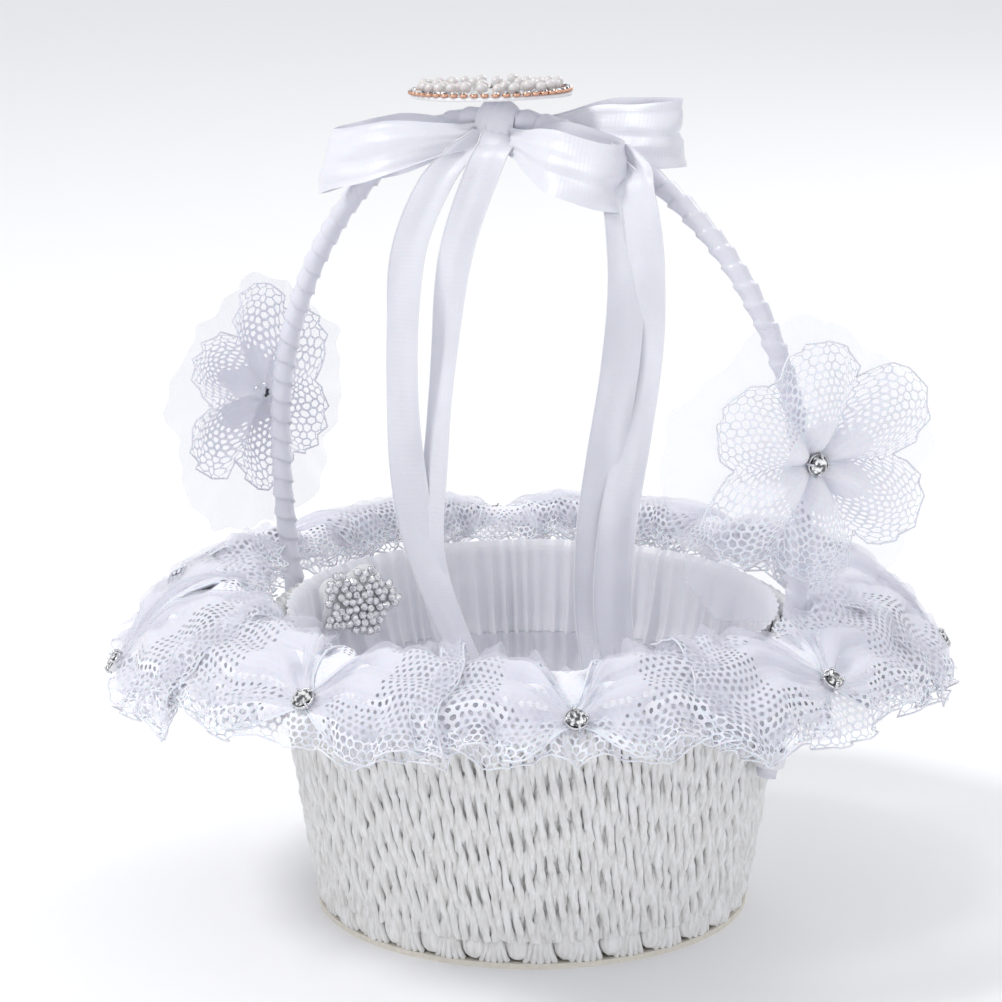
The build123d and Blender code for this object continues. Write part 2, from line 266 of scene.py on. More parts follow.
def make_satin(name, colour, rough=0.34, across=900, along=2600):
    mat = new_material(name, colour, rough, Sheen_Weight=0.25, Sheen_Roughness=0.35,
                       Specular_IOR_Level=0.55, Subsurface_Weight=0.08, Subsurface_Scale=0.002)
    cloudy = noise_of(mat, coords(mat, (60, 60, 60)), 1.0, 4)
    tint(mat, cloudy, tuple(c * 0.93 for c in colour), colour)
    slub = noise_of(mat, coords(mat, (300, 300, 2500)), 1.0, 2)
    ground = bump(mat, slub, 0.12, 0.0002)
    bump(mat, weave(mat, across, along), 0.22, 0.00005, ground)
    return mat


def alpha_from(mat, attribute, low, high):
    """Alpha runs from low to high with a value stored on the piece's points."""
    node = add_node(mat, "ShaderNodeAttribute", attribute_name=attribute)
    span = add_node(mat, "ShaderNodeMapRange")
    span.inputs["To Min"].default_value = low
    span.inputs["To Max"].default_value = high
    join(mat, node.outputs["Fac"], span.inputs["Value"])
    join(mat, span.outputs["Result"], mat.node_tree.nodes["Principled BSDF"].inputs["Alpha"])


def make_organza():
    mat = new_material("organza", (0.76, 0.765, 0.85), 0.45, Sheen_Weight=0.3)
    alpha_from(mat, "density", 0.30, 0.97)
    bump(mat, weave(mat, 1600, 1600), 0.3, 0.00005)
    return mat


def make_lace():
    mat = new_material("lace", (0.82, 0.825, 0.89), 0.75, Sheen_Weight=0.3, Sheen_Roughness=0.6,
                       Subsurface_Weight=0.15, Subsurface_Scale=0.002)
    bump(mat, noise_of(mat, coords(mat, (2600, 2600, 2600)), 1.0, 3), 0.5, 0.00025)
    return mat


RIBBON = make_satin("satin_ribbon", (0.76, 0.765, 0.83))
WRAP = make_satin("satin_wrap", (0.74, 0.745, 0.82), 0.30)
LINING = make_satin("satin_lining", (0.82, 0.82, 0.87), 0.34, 700, 700)
ORGANZA = make_organza()
LACE = make_lace()
print("cloths", [m.name for m in (RIBBON, WRAP, LINING, ORGANZA, LACE)])

# %% [markdown]
# The wall's paper is matt and a little creased. Its colour follows the noise that also creases it,
# white-grey on the raised parts and beige-grey in the low ones: painted shade in the crease hollows.
# The stones are clear glass in polished claws, with painted reflections as dark and bright patches
# in their colour; the pearls have a soft lustre from a clear coat, and the chain of the brooch is rose gold.

# %% Paper, card and metal finishes


def make_paper():
    mat = new_material("twisted_paper", (0.86, 0.855, 0.85), 0.7)
    crease = noise_of(mat, coords(mat, (900, 900, 160)), 1.0, 5)
    # The tint follows the crease noise that also drives the bump, darker in its low parts: painted shade in the
    # crease hollows.
    tint(mat, crease, (0.74, 0.73, 0.71), (0.91, 0.91, 0.91), 0.3, 0.62)
    bump(mat, crease, 0.8, 0.0006)
    return mat


def make_plain(name, colour, rough, grain=700, depth=0.0002, **sockets):
    mat = new_material(name, colour, rough, **sockets)
    grainy = noise_of(mat, coords(mat, (grain, grain, grain)), 1.0, 4)
    tint(mat, grainy, tuple(c * 0.88 for c in colour), colour)
    bump(mat, grainy, 0.4, depth)
    return mat


PAPER = make_paper()
CARD = make_plain("card", (0.80, 0.76, 0.68), 0.85)
FELT = make_plain("felt", (0.88, 0.88, 0.90), 0.95, 1800, 0.0004, Sheen_Weight=0.3)
THREAD = make_plain("thread", (0.88, 0.88, 0.92), 0.7, 3000)
WIRE = make_plain("coated_wire", (0.85, 0.85, 0.85), 0.4)
ELASTIC = make_plain("elastic", (0.88, 0.88, 0.92), 0.7, 2000)
BRIGHT = new_material("bright_glass", (0.94, 0.95, 0.98), 0.08, Metallic=0.25, Coat_Weight=1.0)
# Grey and white noise patches in the glass's colour: painted reflections of the facets.
tint(BRIGHT, noise_of(BRIGHT, coords(BRIGHT, (900, 900, 900)), 1.0, 1),
     (0.60, 0.60, 0.64), (1, 1, 1), 0.36, 0.50)
SILVER = new_material("silver_claws", (0.70, 0.70, 0.72), 0.18, Metallic=1.0)
bump(SILVER, noise_of(SILVER, coords(SILVER, (900, 900, 900))), 0.15, 0.0001)
ROSE = new_material("rose_gold", (0.72, 0.42, 0.30), 0.22, Metallic=1.0)
bump(ROSE, noise_of(ROSE, coords(ROSE, (900, 900, 900))), 0.15, 0.0001)
STONE = new_material("cut_glass", (0.93, 0.93, 0.96), 0.04, Metallic=0.75, Coat_Weight=1.0)
# Near-black and white noise patches in the clear glass's colour: painted reflections of the facets.
tint(STONE, noise_of(STONE, coords(STONE, (900, 900, 900)), 1.0, 1), (0.10, 0.10, 0.11), (1, 1, 1), 0.42, 0.6)
PEARL = new_material("pearl_shell", (0.66, 0.64, 0.64), 0.20, Coat_Weight=0.6, Coat_Roughness=0.12,
                     Subsurface_Weight=0.2, Subsurface_Scale=0.001)
bump(PEARL, noise_of(PEARL, coords(PEARL, (700, 700, 700))), 0.05, 0.0001)
print("hard finishes", [m.name for m in (PAPER, CARD, BRIGHT, SILVER, ROSE, STONE, PEARL)])

# %% [markdown]
# Most of the cloth is a sheet whose every point is known from two numbers, how far along and how
# far across. One helper turns such a rule into a mesh of four-sided faces with a UV map in metres
# and, where a cloth thins out, a density on its points.

# %% Mesh helpers


def link(mesh, name, mat):
    obj = bpy.data.objects.new(name, mesh)
    bpy.context.scene.collection.objects.link(obj)
    if mat is not None:
        mesh.materials.clear()
        mesh.materials.append(mat)
    mesh.shade_smooth()
    return obj


def grid_mesh(name, rule, across, along, size=(1.0, 1.0), closed=False, density=None):
    """A sheet from rule(u, v), with u and v from 0 to 1. closed joins its two long edges in u."""
    columns = across if closed else across + 1
    points = [rule(i / across, j / along) for j in range(along + 1) for i in range(columns)]
    faces = []
    for j in range(along):
        for i in range(across):
            k = (i + 1) % columns
            faces.append((j * columns + i, j * columns + k, (j + 1) * columns + k, (j + 1) * columns + i))
    mesh = bpy.data.meshes.new(name)
    mesh.from_pydata(points, [], faces)
    uv = mesh.uv_layers.new(name="UVMap")
    for face, polygon in enumerate(mesh.polygons):
        j, i = divmod(face, across)
        for loop, (di, dj) in zip(polygon.loop_indices, ((0, 0), (1, 0), (1, 1), (0, 1))):
            uv.data[loop].uv = ((i + di) / across * size[0], (j + dj) / along * size[1])
    if density:
        layer = mesh.attributes.new("density", "FLOAT", "POINT")
        values = [density(i / across, j / along) for j in range(along + 1) for i in range(columns)]
        layer.data.foreach_set("value", values)
    return mesh


def tube_mesh(name, path, radius, sides=10, closed=False, turn_radius=None):
    """A tube along a path. turn_radius(share along, angle) may change its radius from place to place."""
    pts = [Vector(p) for p in path]
    n = len(pts)
    verts, faces = [], []
    up = Vector((0, 0, 1)) if closed else Vector((0, 1, 0))
    for i, p in enumerate(pts):
        ahead = pts[(i + 1) % n] if closed else pts[min(i + 1, n - 1)]
        behind = pts[i - 1] if closed or i else pts[0]
        tangent = (ahead - behind).normalized()
        side = up.cross(tangent).normalized()
        top = tangent.cross(side)
        for k in range(sides):
            a = math.tau * k / sides
            r = radius * (turn_radius(i / n, a) if turn_radius else 1)
            verts.append(p + (side * math.cos(a) + top * math.sin(a)) * r)
    for i in range(n if closed else n - 1):
        for k in range(sides):
            a, b = i * sides + k, i * sides + (k + 1) % sides
            c, d = (i + 1) % n * sides + (k + 1) % sides, (i + 1) % n * sides + k
            faces.append((a, b, c, d))
    if not closed:
        faces.append(tuple(range(sides))[::-1])
        faces.append(tuple((n - 1) * sides + k for k in range(sides)))
    mesh = bpy.data.meshes.new(name)
    mesh.from_pydata(verts, [], faces)
    return mesh


def smooth_line(points, count):
    """A smooth curve through a few points (Catmull-Rom), sampled evenly by parameter."""
    pts = [Vector(p) for p in points]
    pts = [pts[0] * 2 - pts[1]] + pts + [pts[-1] * 2 - pts[-2]]
    out = []
    for i in range(count):
        t = i / (count - 1) * (len(pts) - 3)
        k = min(int(t), len(pts) - 4)
        f = t - k
        a, b, c, d = pts[k:k + 4]
        out.append(0.5 * (2 * b + (c - a) * f + (2 * a - 5 * b + 4 * c - d) * f * f
                          + (3 * b - a - 3 * c + d) * f ** 3))
    return out


def place(obj, slot, *nodes):
    """The piece rides on the basket and stands for its nodes, which it hides; the slot is not used."""
    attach(obj, ROOT)
    if nodes:
        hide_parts(*nodes)
    print(obj.name, len(obj.data.polygons), "faces, stands for", len(nodes), "nodes")
    return obj


def ease(x):
    x = max(0.0, min(1.0, x))
    return x * x * (3 - 2 * x)


# %% [markdown]
# Geometry Nodes make everything here that repeats. Each tree is a small chain, so two helpers are
# enough: one starts a tree with named inputs, the other runs it on a mesh, keeps the result as a
# plain mesh and removes the modifier.

# %% Geometry Nodes helpers


def start_tree(name, **numbers):
    """A tree with a geometry input and output and a named float input for each number."""
    tree = bpy.data.node_groups.new(name, "GeometryNodeTree")
    tree.interface.new_socket("Geometry", in_out="INPUT", socket_type="NodeSocketGeometry")
    tree.interface.new_socket("Geometry", in_out="OUTPUT", socket_type="NodeSocketGeometry")
    for key, value in numbers.items():
        socket = tree.interface.new_socket(key, in_out="INPUT", socket_type="NodeSocketFloat")
        socket.default_value = value
    return tree, tree.nodes.new("NodeGroupInput"), tree.nodes.new("NodeGroupOutput")


def geo(tree, kind, inputs=None, **settings):
    """A node with its settings; inputs are values, or sockets to join."""
    node = tree.nodes.new(kind)
    for key, value in settings.items():
        setattr(node, key, value)
    for key, value in (inputs or {}).items():
        if isinstance(value, bpy.types.NodeSocket):
            tree.links.new(value, node.inputs[key])
        else:
            node.inputs[key].default_value = value
    return node


def run_tree(tree, mesh, name, mat, **numbers):
    """Runs a tree on a mesh with these inputs and keeps what it makes as a plain mesh."""
    source = bpy.data.objects.new(name + "_source", mesh)
    bpy.context.scene.collection.objects.link(source)
    modifier = source.modifiers.new("nodes", "NODES")
    modifier.node_group = tree
    for item in tree.interface.items_tree:
        if item.in_out == "INPUT" and item.name in numbers:
            modifier[item.identifier] = float(numbers[item.name])
    graph = bpy.context.evaluated_depsgraph_get()
    made = bpy.data.meshes.new_from_object(source.evaluated_get(graph))
    bpy.data.objects.remove(source)
    made.name = name
    return link(made, name, mat)


print("helpers ready")

# %% [markdown]
# ## The paper wall
# The wall is made of upright ropes set side by side round the wire frame. Each rope is two strips
# of paper twisted together, so what shows is a field of short slanting strands. One rope could be
# modelled and copied by hand, but a tree does it better: it bends two lines into a helix, gives
# them a round section, stands a rope on every point of a circle, turns each a random amount and
# then roughens them all with a noise, because paper never twists evenly.

# %% Sizes of the basket, from the frame
low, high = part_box("base_board")
BASE_R = high[0]
BOARD_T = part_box("base_board")[1][2]
WALL_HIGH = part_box("woven_wall")[1][2]
RIM_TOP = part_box("rim_braid")[1][2]
RIM_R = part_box("woven_wall")[1][0]
SLOPE = (RIM_R - BASE_R) / WALL_HIGH
TILT = math.atan(SLOPE)


def wall_r(z):
    """Outer radius of the basket at a height."""
    return BASE_R + SLOPE * z


print("wall radius (mm)", round(wall_r(0) / MM, 1), "to", round(wall_r(RIM_TOP) / MM, 1))

# %% The rope wall
ROPES = 132
ROPE_PLY = 1.24 * MM
ROPE_HELIX = 0.95 * MM
ROPE_PITCH = 27 * MM


def helix_ply(tree, line, turns, radius, phase, ply):
    """One strip of a rope: a line bent into a helix, given a round section."""
    index = geo(tree, "GeometryNodeInputIndex").outputs[0]
    angle = geo(tree, "ShaderNodeMath", {0: index, 1: turns, 2: phase}, operation="MULTIPLY_ADD").outputs[0]
    cos = geo(tree, "ShaderNodeMath", {0: angle}, operation="COSINE").outputs[0]
    sin = geo(tree, "ShaderNodeMath", {0: angle}, operation="SINE").outputs[0]
    x = geo(tree, "ShaderNodeMath", {0: cos, 1: radius}, operation="MULTIPLY").outputs[0]
    y = geo(tree, "ShaderNodeMath", {0: sin, 1: radius}, operation="MULTIPLY").outputs[0]
    offset = geo(tree, "ShaderNodeCombineXYZ", {0: x, 1: y}).outputs[0]
    bent = geo(tree, "GeometryNodeSetPosition", {"Geometry": line, "Offset": offset}).outputs[0]
    section = geo(tree, "GeometryNodeCurvePrimitiveCircle", {"Resolution": 6, "Radius": ply}).outputs[0]
    return geo(tree, "GeometryNodeCurveToMesh", {"Curve": bent, "Profile Curve": section}).outputs[0]


def roughen(tree, shape, amount, scale):
    """Moves every point by a small seeded noise."""
    fog = geo(tree, "ShaderNodeTexNoise", {"Scale": scale, "Detail": 3.0})
    middle = geo(tree, "ShaderNodeVectorMath", {0: fog.outputs["Color"], 1: (0.5, 0.5, 0.5)},
                 operation="SUBTRACT").outputs[0]
    move = geo(tree, "ShaderNodeVectorMath", {0: middle, "Scale": amount}, operation="SCALE").outputs[0]
    return geo(tree, "GeometryNodeSetPosition", {"Geometry": shape, "Offset": move}).outputs[0]


def end_tree(tree, shape, outside, mat):
    real = geo(tree, "GeometryNodeRealizeInstances", {0: shape}).outputs[0]
    smooth = geo(tree, "GeometryNodeSetShadeSmooth", {0: real}).outputs[0]
    painted = geo(tree, "GeometryNodeSetMaterial", {"Geometry": smooth, "Material": mat}).outputs[0]
    tree.links.new(painted, outside.inputs[0])


def rope_tree():
    """Each point of the mesh it is given gets an upright two-ply rope leaning out with the wall."""
    tree, inside, outside = start_tree("paper_ropes", Height=0.07, Ply=ROPE_PLY, Helix=ROPE_HELIX,
                                       Turn=0.5, Lean=0.1, Rough=0.0006)
    top = geo(tree, "ShaderNodeCombineXYZ", {2: inside.outputs["Height"]}).outputs[0]
    line = geo(tree, "GeometryNodeCurvePrimitiveLine", {"End": top}).outputs[0]
    line = geo(tree, "GeometryNodeResampleCurve", {"Curve": line, "Count": 42}).outputs[0]
    plies = [helix_ply(tree, line, inside.outputs["Turn"], inside.outputs["Helix"], phase,
                       inside.outputs["Ply"]) for phase in (0.0, math.pi)]
    rope = geo(tree, "GeometryNodeJoinGeometry", {0: plies[0]})
    tree.links.new(plies[1], rope.inputs[0])
    spot = geo(tree, "GeometryNodeInputPosition").outputs[0]
    parts = geo(tree, "ShaderNodeSeparateXYZ", {0: spot})
    around = geo(tree, "ShaderNodeMath", {0: parts.outputs[1], 1: parts.outputs[0]},
                 operation="ARCTAN2").outputs[0]
    facing = geo(tree, "ShaderNodeCombineXYZ", {1: inside.outputs["Lean"], 2: around}).outputs[0]
    stood = geo(tree, "GeometryNodeInstanceOnPoints", {"Points": inside.outputs["Geometry"],
                                                       "Instance": rope.outputs[0],
                                                       "Rotation": facing}).outputs[0]
    spin = geo(tree, "FunctionNodeRandomValue", {"Seed": 4}, data_type="FLOAT_VECTOR")
    spin.inputs[0].default_value = (0, 0, 0)
    spin.inputs[1].default_value = (0, 0, math.tau)
    stood = geo(tree, "GeometryNodeRotateInstances", {"Instances": stood, "Rotation": spin.outputs[0],
                                                      "Local Space": True}).outputs[0]
    real = geo(tree, "GeometryNodeRealizeInstances", {0: stood}).outputs[0]
    rough = roughen(tree, real, inside.outputs["Rough"], 420.0)
    end_tree(tree, rough, outside, PAPER)
    return tree


def ring_points(name, count, radius, z):
    mesh = bpy.data.meshes.new(name)
    turn = math.tau / count
    mesh.from_pydata([(radius * math.cos(i * turn), radius * math.sin(i * turn), z)
                      for i in range(count)], [], [])
    return mesh


ROPE_LOW = BOARD_T + 7 * MM
ROPE_HEIGHT = WALL_HIGH - ROPE_LOW
ropes = run_tree(rope_tree(), ring_points("rope_feet", ROPES, wall_r(ROPE_LOW) - 1.9 * MM, ROPE_LOW),
                 "rope_wall", PAPER, Height=ROPE_HEIGHT / math.cos(TILT),
                 Turn=-math.tau * ROPE_HEIGHT / ROPE_PITCH / 41, Lean=TILT, Rough=2.2 * MM)
place(ropes, "paper_rope", "woven_wall")

# %% [markdown]
# Behind the ropes a thin paper skin closes the gaps, as the glued backing strip does inside such a
# basket. Round the foot the rope ends are gathered into little sheaves, with a soft folded pad of
# paper between each pair, and dark gaps are left between them.

# %% Backing skin and foot border
BACK_IN = 2.7 * MM
SHEAVES = 30


def backing_rule(u, v):
    z = ROPE_LOW - 5 * MM + v * (WALL_HIGH - ROPE_LOW + 5 * MM)
    r = wall_r(z) - BACK_IN
    return (r * math.cos(math.tau * u), r * math.sin(math.tau * u), z)


backing = link(grid_mesh("wall_backing", backing_rule, 96, 8, closed=True), "wall_backing", PAPER)
place(backing, "paper_rope")


def foot_tree():
    """Each point gets a sheaf of strands that spreads downwards and a folded pad beside it."""
    tree, inside, outside = start_tree("foot_border", Height=0.011, Step=0.1, Rough=0.001)
    strands = []
    for k in range(5):
        spread = (k - 2) * 1.25 * MM
        start = (-0.4 * MM, spread * 0.5, 0.0115)
        end = (1.5 * MM - abs(k - 2) * 0.5 * MM, spread * 1.5, 0.0)
        mid = (2.6 * MM, spread * 0.7, 0.004)
        bent = geo(tree, "GeometryNodeCurveQuadraticBezier", {"Resolution": 8, "Start": start,
                                                              "Middle": mid, "End": end}).outputs[0]
        section = geo(tree, "GeometryNodeCurvePrimitiveCircle", {"Resolution": 6,
                                                                 "Radius": 1.0 * MM}).outputs[0]
        strands.append(geo(tree, "GeometryNodeCurveToMesh", {"Curve": bent, "Profile Curve": section,
                                                             "Fill Caps": True}).outputs[0])
    ball = geo(tree, "GeometryNodeMeshUVSphere", {"Segments": 12, "Rings": 8, "Radius": 1.0}).outputs[0]
    flat = geo(tree, "GeometryNodeTransform", {"Geometry": ball, "Scale": (2.0 * MM, 3.5 * MM, 4.6 * MM),
                                               "Translation": (0.6 * MM, 6.9 * MM, 4.9 * MM)}).outputs[0]
    sheaf = geo(tree, "GeometryNodeJoinGeometry", {0: flat})
    for strand in strands:
        tree.links.new(strand, sheaf.inputs[0])
    spot = geo(tree, "GeometryNodeInputPosition").outputs[0]
    parts = geo(tree, "ShaderNodeSeparateXYZ", {0: spot})
    around = geo(tree, "ShaderNodeMath", {0: parts.outputs[1], 1: parts.outputs[0]},
                 operation="ARCTAN2").outputs[0]
    facing = geo(tree, "ShaderNodeCombineXYZ", {2: around}).outputs[0]
    size = geo(tree, "FunctionNodeRandomValue", {"Seed": 9}, data_type="FLOAT")
    size.inputs[2].default_value = 0.98
    size.inputs[3].default_value = 1.20
    stood = geo(tree, "GeometryNodeInstanceOnPoints", {"Points": inside.outputs["Geometry"],
                                                       "Instance": sheaf.outputs[0],
                                                       "Rotation": facing,
                                                       "Scale": size.outputs[1]}).outputs[0]
    real = geo(tree, "GeometryNodeRealizeInstances", {0: stood}).outputs[0]
    end_tree(tree, roughen(tree, real, inside.outputs["Rough"], 500.0), outside, PAPER)
    return tree


foot = run_tree(foot_tree(), ring_points("sheaf_feet", SHEAVES, BASE_R - 2.4 * MM, BOARD_T + 0.2 * MM),
                "foot_sheaves", PAPER, Rough=1.0 * MM)
place(foot, "paper_rope", "foot_border")

# %% Rim rope and the parts kept from the frame
RIM_ROPE_R = wall_r(RIM_TOP) - 1.6 * MM


def rim_rope():
    """Two thick paper plies twisted along the rim."""
    verts, faces = [], []
    for ply in range(2):
        path = []
        for i in range(360):
            a = math.tau * i / 360
            twist = a * 48 + ply * math.pi
            r = RIM_ROPE_R + 1.3 * MM * math.cos(twist)
            path.append((r * math.cos(a), r * math.sin(a), RIM_TOP - 2.8 * MM + 1.3 * MM * math.sin(twist)))
        mesh = tube_mesh("ply", path, 1.6 * MM, 8, closed=True)
        base = len(verts)
        verts += [v.co.copy() for v in mesh.vertices]
        faces += [tuple(base + k for k in p.vertices) for p in mesh.polygons]
    mesh = bpy.data.meshes.new("rim_rope")
    mesh.from_pydata(verts, [], faces)
    return link(mesh, "rim_rope", PAPER)


place(rim_rope(), "paper_rope", "rim_braid")

for node, mat in (("base_board", CARD), ("wire_frame", WIRE), ("handle_core", WIRE),
                  ("gather_elastic", ELASTIC), ("foot_bindings", THREAD)):
    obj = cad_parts[node]
    obj.data.materials.clear()
    obj.data.materials.append(mat)
print("kept nodes painted")

# %% [markdown]
# ## Satin lining
# A satin tube lines the wall. An elastic pulls it in a third of the way down, so little pleats
# fan out above and below that seam. The pleats are a wave round the lining whose depth is greatest
# at the seam and dies out away from it; a slow noise in the wave's phase keeps them from looking
# machined.

# %% Lining
SEAM_Z = (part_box("lining_cup")[1][2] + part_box("lining_band")[0][2]) / 2
LINING_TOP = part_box("lining_band")[1][2]
LINING_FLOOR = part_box("lining_cup")[0][2]
LINING_IN = RIM_R - (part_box("lining_band")[1][0] - SLOPE * (LINING_TOP - WALL_HIGH))
PLEATS = 92


def pleat(u, depth, seed):
    """How far the cloth stands in at a place round the lining."""
    a = math.tau * u
    drift = noise.noise(Vector((math.cos(a) * 3, math.sin(a) * 3, seed))) * 11
    fine = noise.noise(Vector((math.cos(a) * 14, math.sin(a) * 14, seed + 4)))
    wave = 0.5 + 0.5 * math.sin(PLEATS * a + drift)
    return depth * (wave ** 1.5 * (0.80 + 1.1 * fine))


def band_rule(u, v):
    z = SEAM_Z + v * (LINING_TOP - SEAM_Z + 1.5 * MM)
    depth = (2.4 * (1 - v) ** 1.2 + 0.7) * MM
    tuck = 1.2 * MM * math.exp(-(v * 9) ** 2) - (1.6 * MM * ease((v - 0.93) * 14))
    r = wall_r(z) - LINING_IN - 0.3 * MM - pleat(u, depth, 2.0) - tuck
    return (r * math.cos(math.tau * u), r * math.sin(math.tau * u), z)


def cup_rule(u, v):
    if v < 0.25:
        r, z = (wall_r(LINING_FLOOR) - LINING_IN - 2 * MM) * (0.02 + v / 0.25 * 0.98), LINING_FLOOR + 0.4 * MM
    else:
        share = (v - 0.25) / 0.75
        z = LINING_FLOOR + 0.4 * MM + share * (SEAM_Z - LINING_FLOOR - 0.4 * MM)
        depth = (2.2 * share ** 5 + 0.3) * MM
        seam_tuck = 1.0 * MM * math.exp(-((1 - share) * 14) ** 2)
        r = wall_r(z) - LINING_IN - 1.0 * MM - pleat(u, depth, 2.0) - seam_tuck
    return (r * math.cos(math.tau * u), r * math.sin(math.tau * u), z)


around = math.tau * wall_r(SEAM_Z)
band = link(grid_mesh("lining_upper", band_rule, 920, 14, (around * 1.5, 0.03), True), "lining_upper", LINING)
place(band, "lining_satin", "lining_band")
cup = link(grid_mesh("lining_lower", cup_rule, 640, 36, (around, 0.12), True), "lining_lower", LINING)
place(cup, "lining_satin", "lining_cup")

# %% [markdown]
# ## Floor cushion
# A thin round satin pad lies on the floor of the basket. It is a flat closed form that is remeshed
# and blown up a little as cloth, so its top crowns and its rim rounds over like a sewn pad.

# %% Cushion
CUSHION_LOW, CUSHION_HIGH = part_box("floor_cushion")
PAD_CAP = 2.5 * MM


def pad_start():
    radius = CUSHION_HIGH[0] - 1.5 * MM
    low, high = CUSHION_LOW[2] + 1.2 * MM, CUSHION_HIGH[2] - 1.0 * MM
    mid = (low + high) / 2
    outline = [(0.02, low), (0.9, low), (0.98, low * 0.7 + mid * 0.3), (1.0, mid),
               (0.98, high * 0.7 + mid * 0.3), (0.9, high), (0.02, high)]

    def rule(u, v):
        k = v * (len(outline) - 1)
        i = min(int(k), len(outline) - 2)
        r = (outline[i][0] + (outline[i + 1][0] - outline[i][0]) * (k - i)) * radius
        z = outline[i][1] + (outline[i + 1][1] - outline[i][1]) * (k - i)
        return (r * math.cos(math.tau * u), r * math.sin(math.tau * u), z)
    mesh = grid_mesh("cushion", rule, 72, 18, closed=True)
    obj = link(mesh, "cushion", LINING)
    shaped = obj.modifiers.new("remesh", "REMESH")
    shaped.mode = "VOXEL"
    shaped.voxel_size = 2.2 * MM
    return obj


def apply_all(obj):
    graph = bpy.context.evaluated_depsgraph_get()
    mesh = bpy.data.meshes.new_from_object(obj.evaluated_get(graph))
    obj.modifiers.clear()
    obj.data = mesh
    return obj


def blow_up(obj, frames=16):
    """The pad swells as cloth under light pressure, and no point moves more than the cap."""
    before = [v.co.copy() for v in obj.data.vertices]
    cloth = obj.modifiers.new("cloth", "CLOTH")
    cloth.settings.use_pressure = True
    cloth.settings.uniform_pressure_force = 4
    cloth.settings.effector_weights.gravity = 0
    scene = bpy.context.scene
    for step in range(1, frames + 1):
        scene.frame_set(step)
    apply_all(obj)
    scene.frame_set(1)
    for start, vert in zip(before, obj.data.vertices):
        move = vert.co - start
        if move.length > PAD_CAP:
            vert.co = start + move * (PAD_CAP / move.length)
        vert.co.z = min(max(vert.co.z, CUSHION_LOW[2]), CUSHION_HIGH[2] + 1.5 * MM)


cushion = apply_all(pad_start())
blow_up(cushion)
cushion.data.materials.clear()
cushion.data.materials.append(LINING)
cushion.data.shade_smooth()
place(cushion, "lining_satin", "floor_cushion")

# %% [markdown]
# ## Handle
# A wire arch is wrapped from foot to foot in narrow satin ribbon, each turn lapping over the last.
# What shows is a tube with a small step running round it as a helix. The arch itself is the
# frame's own: straight up the wall's slope, a gentle bend, then two tangent arcs on each side that
# meet at a top which leans a little to the left.

# %% The line of the arch
WRAP_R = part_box("handle_wrap")[1][1]
ARCH_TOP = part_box("handle_wrap")[1][2] - WRAP_R
SPRING_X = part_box("handle_wrap")[1][0] - WRAP_R
ARCH_H = 103.5 * MM
APEX_X = -11 * MM
ARCH_EVEN = 0.8
LEG_DOWN = 40 * MM
LEG_UP = 2 * MM
SPRING_Z = ARCH_TOP - ARCH_H


def arc_points(centre, radius, start, end, step=0.0005):
    count = max(2, int(abs(end - start) * radius / step))
    return [(centre[0] + radius * math.cos(start + (end - start) * i / count), 0.0,
             centre[1] + radius * math.sin(start + (end - start) * i / count)) for i in range(count)]


def half_arch(half):
    """From the springing to the top, for the side at +X, about x = 0 at the top."""
    top_r = half + (half - ARCH_H) * ARCH_EVEN
    drop = ARCH_H - top_r
    side_r = (top_r ** 2 - half ** 2 - drop ** 2) / (2 * (top_r - half))
    turn = math.atan2(drop, side_r - half)
    side = arc_points((half - side_r, 0.0), side_r, 0.0, turn)
    return side + arc_points((0.0, drop), top_r, turn, math.pi / 2)


def leg_line():
    """From the foot up to the springing, for the leg at +X."""
    bend_z, foot_z = RIM_TOP + LEG_UP, RIM_TOP - LEG_DOWN
    radius = (SPRING_Z - bend_z) / math.sin(TILT)
    bend = arc_points((SPRING_X - radius, SPRING_Z), radius, -TILT, 0.0)
    count = int((bend_z - foot_z) / 0.0005)
    x0 = bend[0][0] - SLOPE * (bend_z - foot_z)
    straight = [(x0 + SLOPE * (bend_z - foot_z) * i / count, 0.0, foot_z + (bend_z - foot_z) * i / count)
                for i in range(count)]
    return straight + bend


def handle_line():
    right = leg_line() + [(x + APEX_X, 0.0, z + SPRING_Z) for x, _, z in half_arch(SPRING_X - APEX_X)]
    left = [(-x, 0.0, z) for x, _, z in leg_line()]
    left += [(-x + APEX_X, 0.0, z + SPRING_Z) for x, _, z in half_arch(SPRING_X + APEX_X)]
    return right + [(APEX_X, 0.0, ARCH_TOP)] + left[::-1]


ARCH = handle_line()
print("arch", len(ARCH), "points, top at", round(ARCH_TOP / MM, 1), "mm")

# %% The wrapping
WRAP_PITCH = 6.2 * MM
ARCH_LENGTH = 0.0005 * len(ARCH)


def lap(share, angle):
    """Radius of the wrapping: each turn rises to its lapped edge, then steps down."""
    along = share * ARCH_LENGTH / WRAP_PITCH
    turn = (along + angle / math.tau + 0.04 * math.sin(angle * 3 + along)) % 1.0
    step = turn ** 1.6 if turn < 0.93 else (1 - turn) / 0.07
    pucker = noise.noise(Vector((along * 1.7, math.cos(angle) * 1.6, math.sin(angle) * 1.6)))
    return 0.84 + 0.24 * step + 0.06 * pucker


wrap = link(tube_mesh("handle_satin", ARCH, WRAP_R, 22, turn_radius=lap), "handle_satin", WRAP)
place(wrap, "wrap_satin", "handle_wrap")

# %% [markdown]
# ## Net lace
# The lace is a net of irregular six-sided holes, larger towards its free edges, with a cord along
# the edge. Drawing each hole is hopeless and painting them flat loses the lacy outline, so the net
# is real mesh. A triangular lattice is laid out flat and shaped as the ruffle; its dual has one
# many-sided cell where each lattice point was. Each cell is inset to its own hole size, the middle
# is deleted, and what is left is the thread. Where the hole size is nought the cell stays closed,
# which gives the dense gathered cloth near each stone.

# %% The lattice and its tree
LACE_CELL = 2.45 * MM
CORD_R = 0.32 * MM


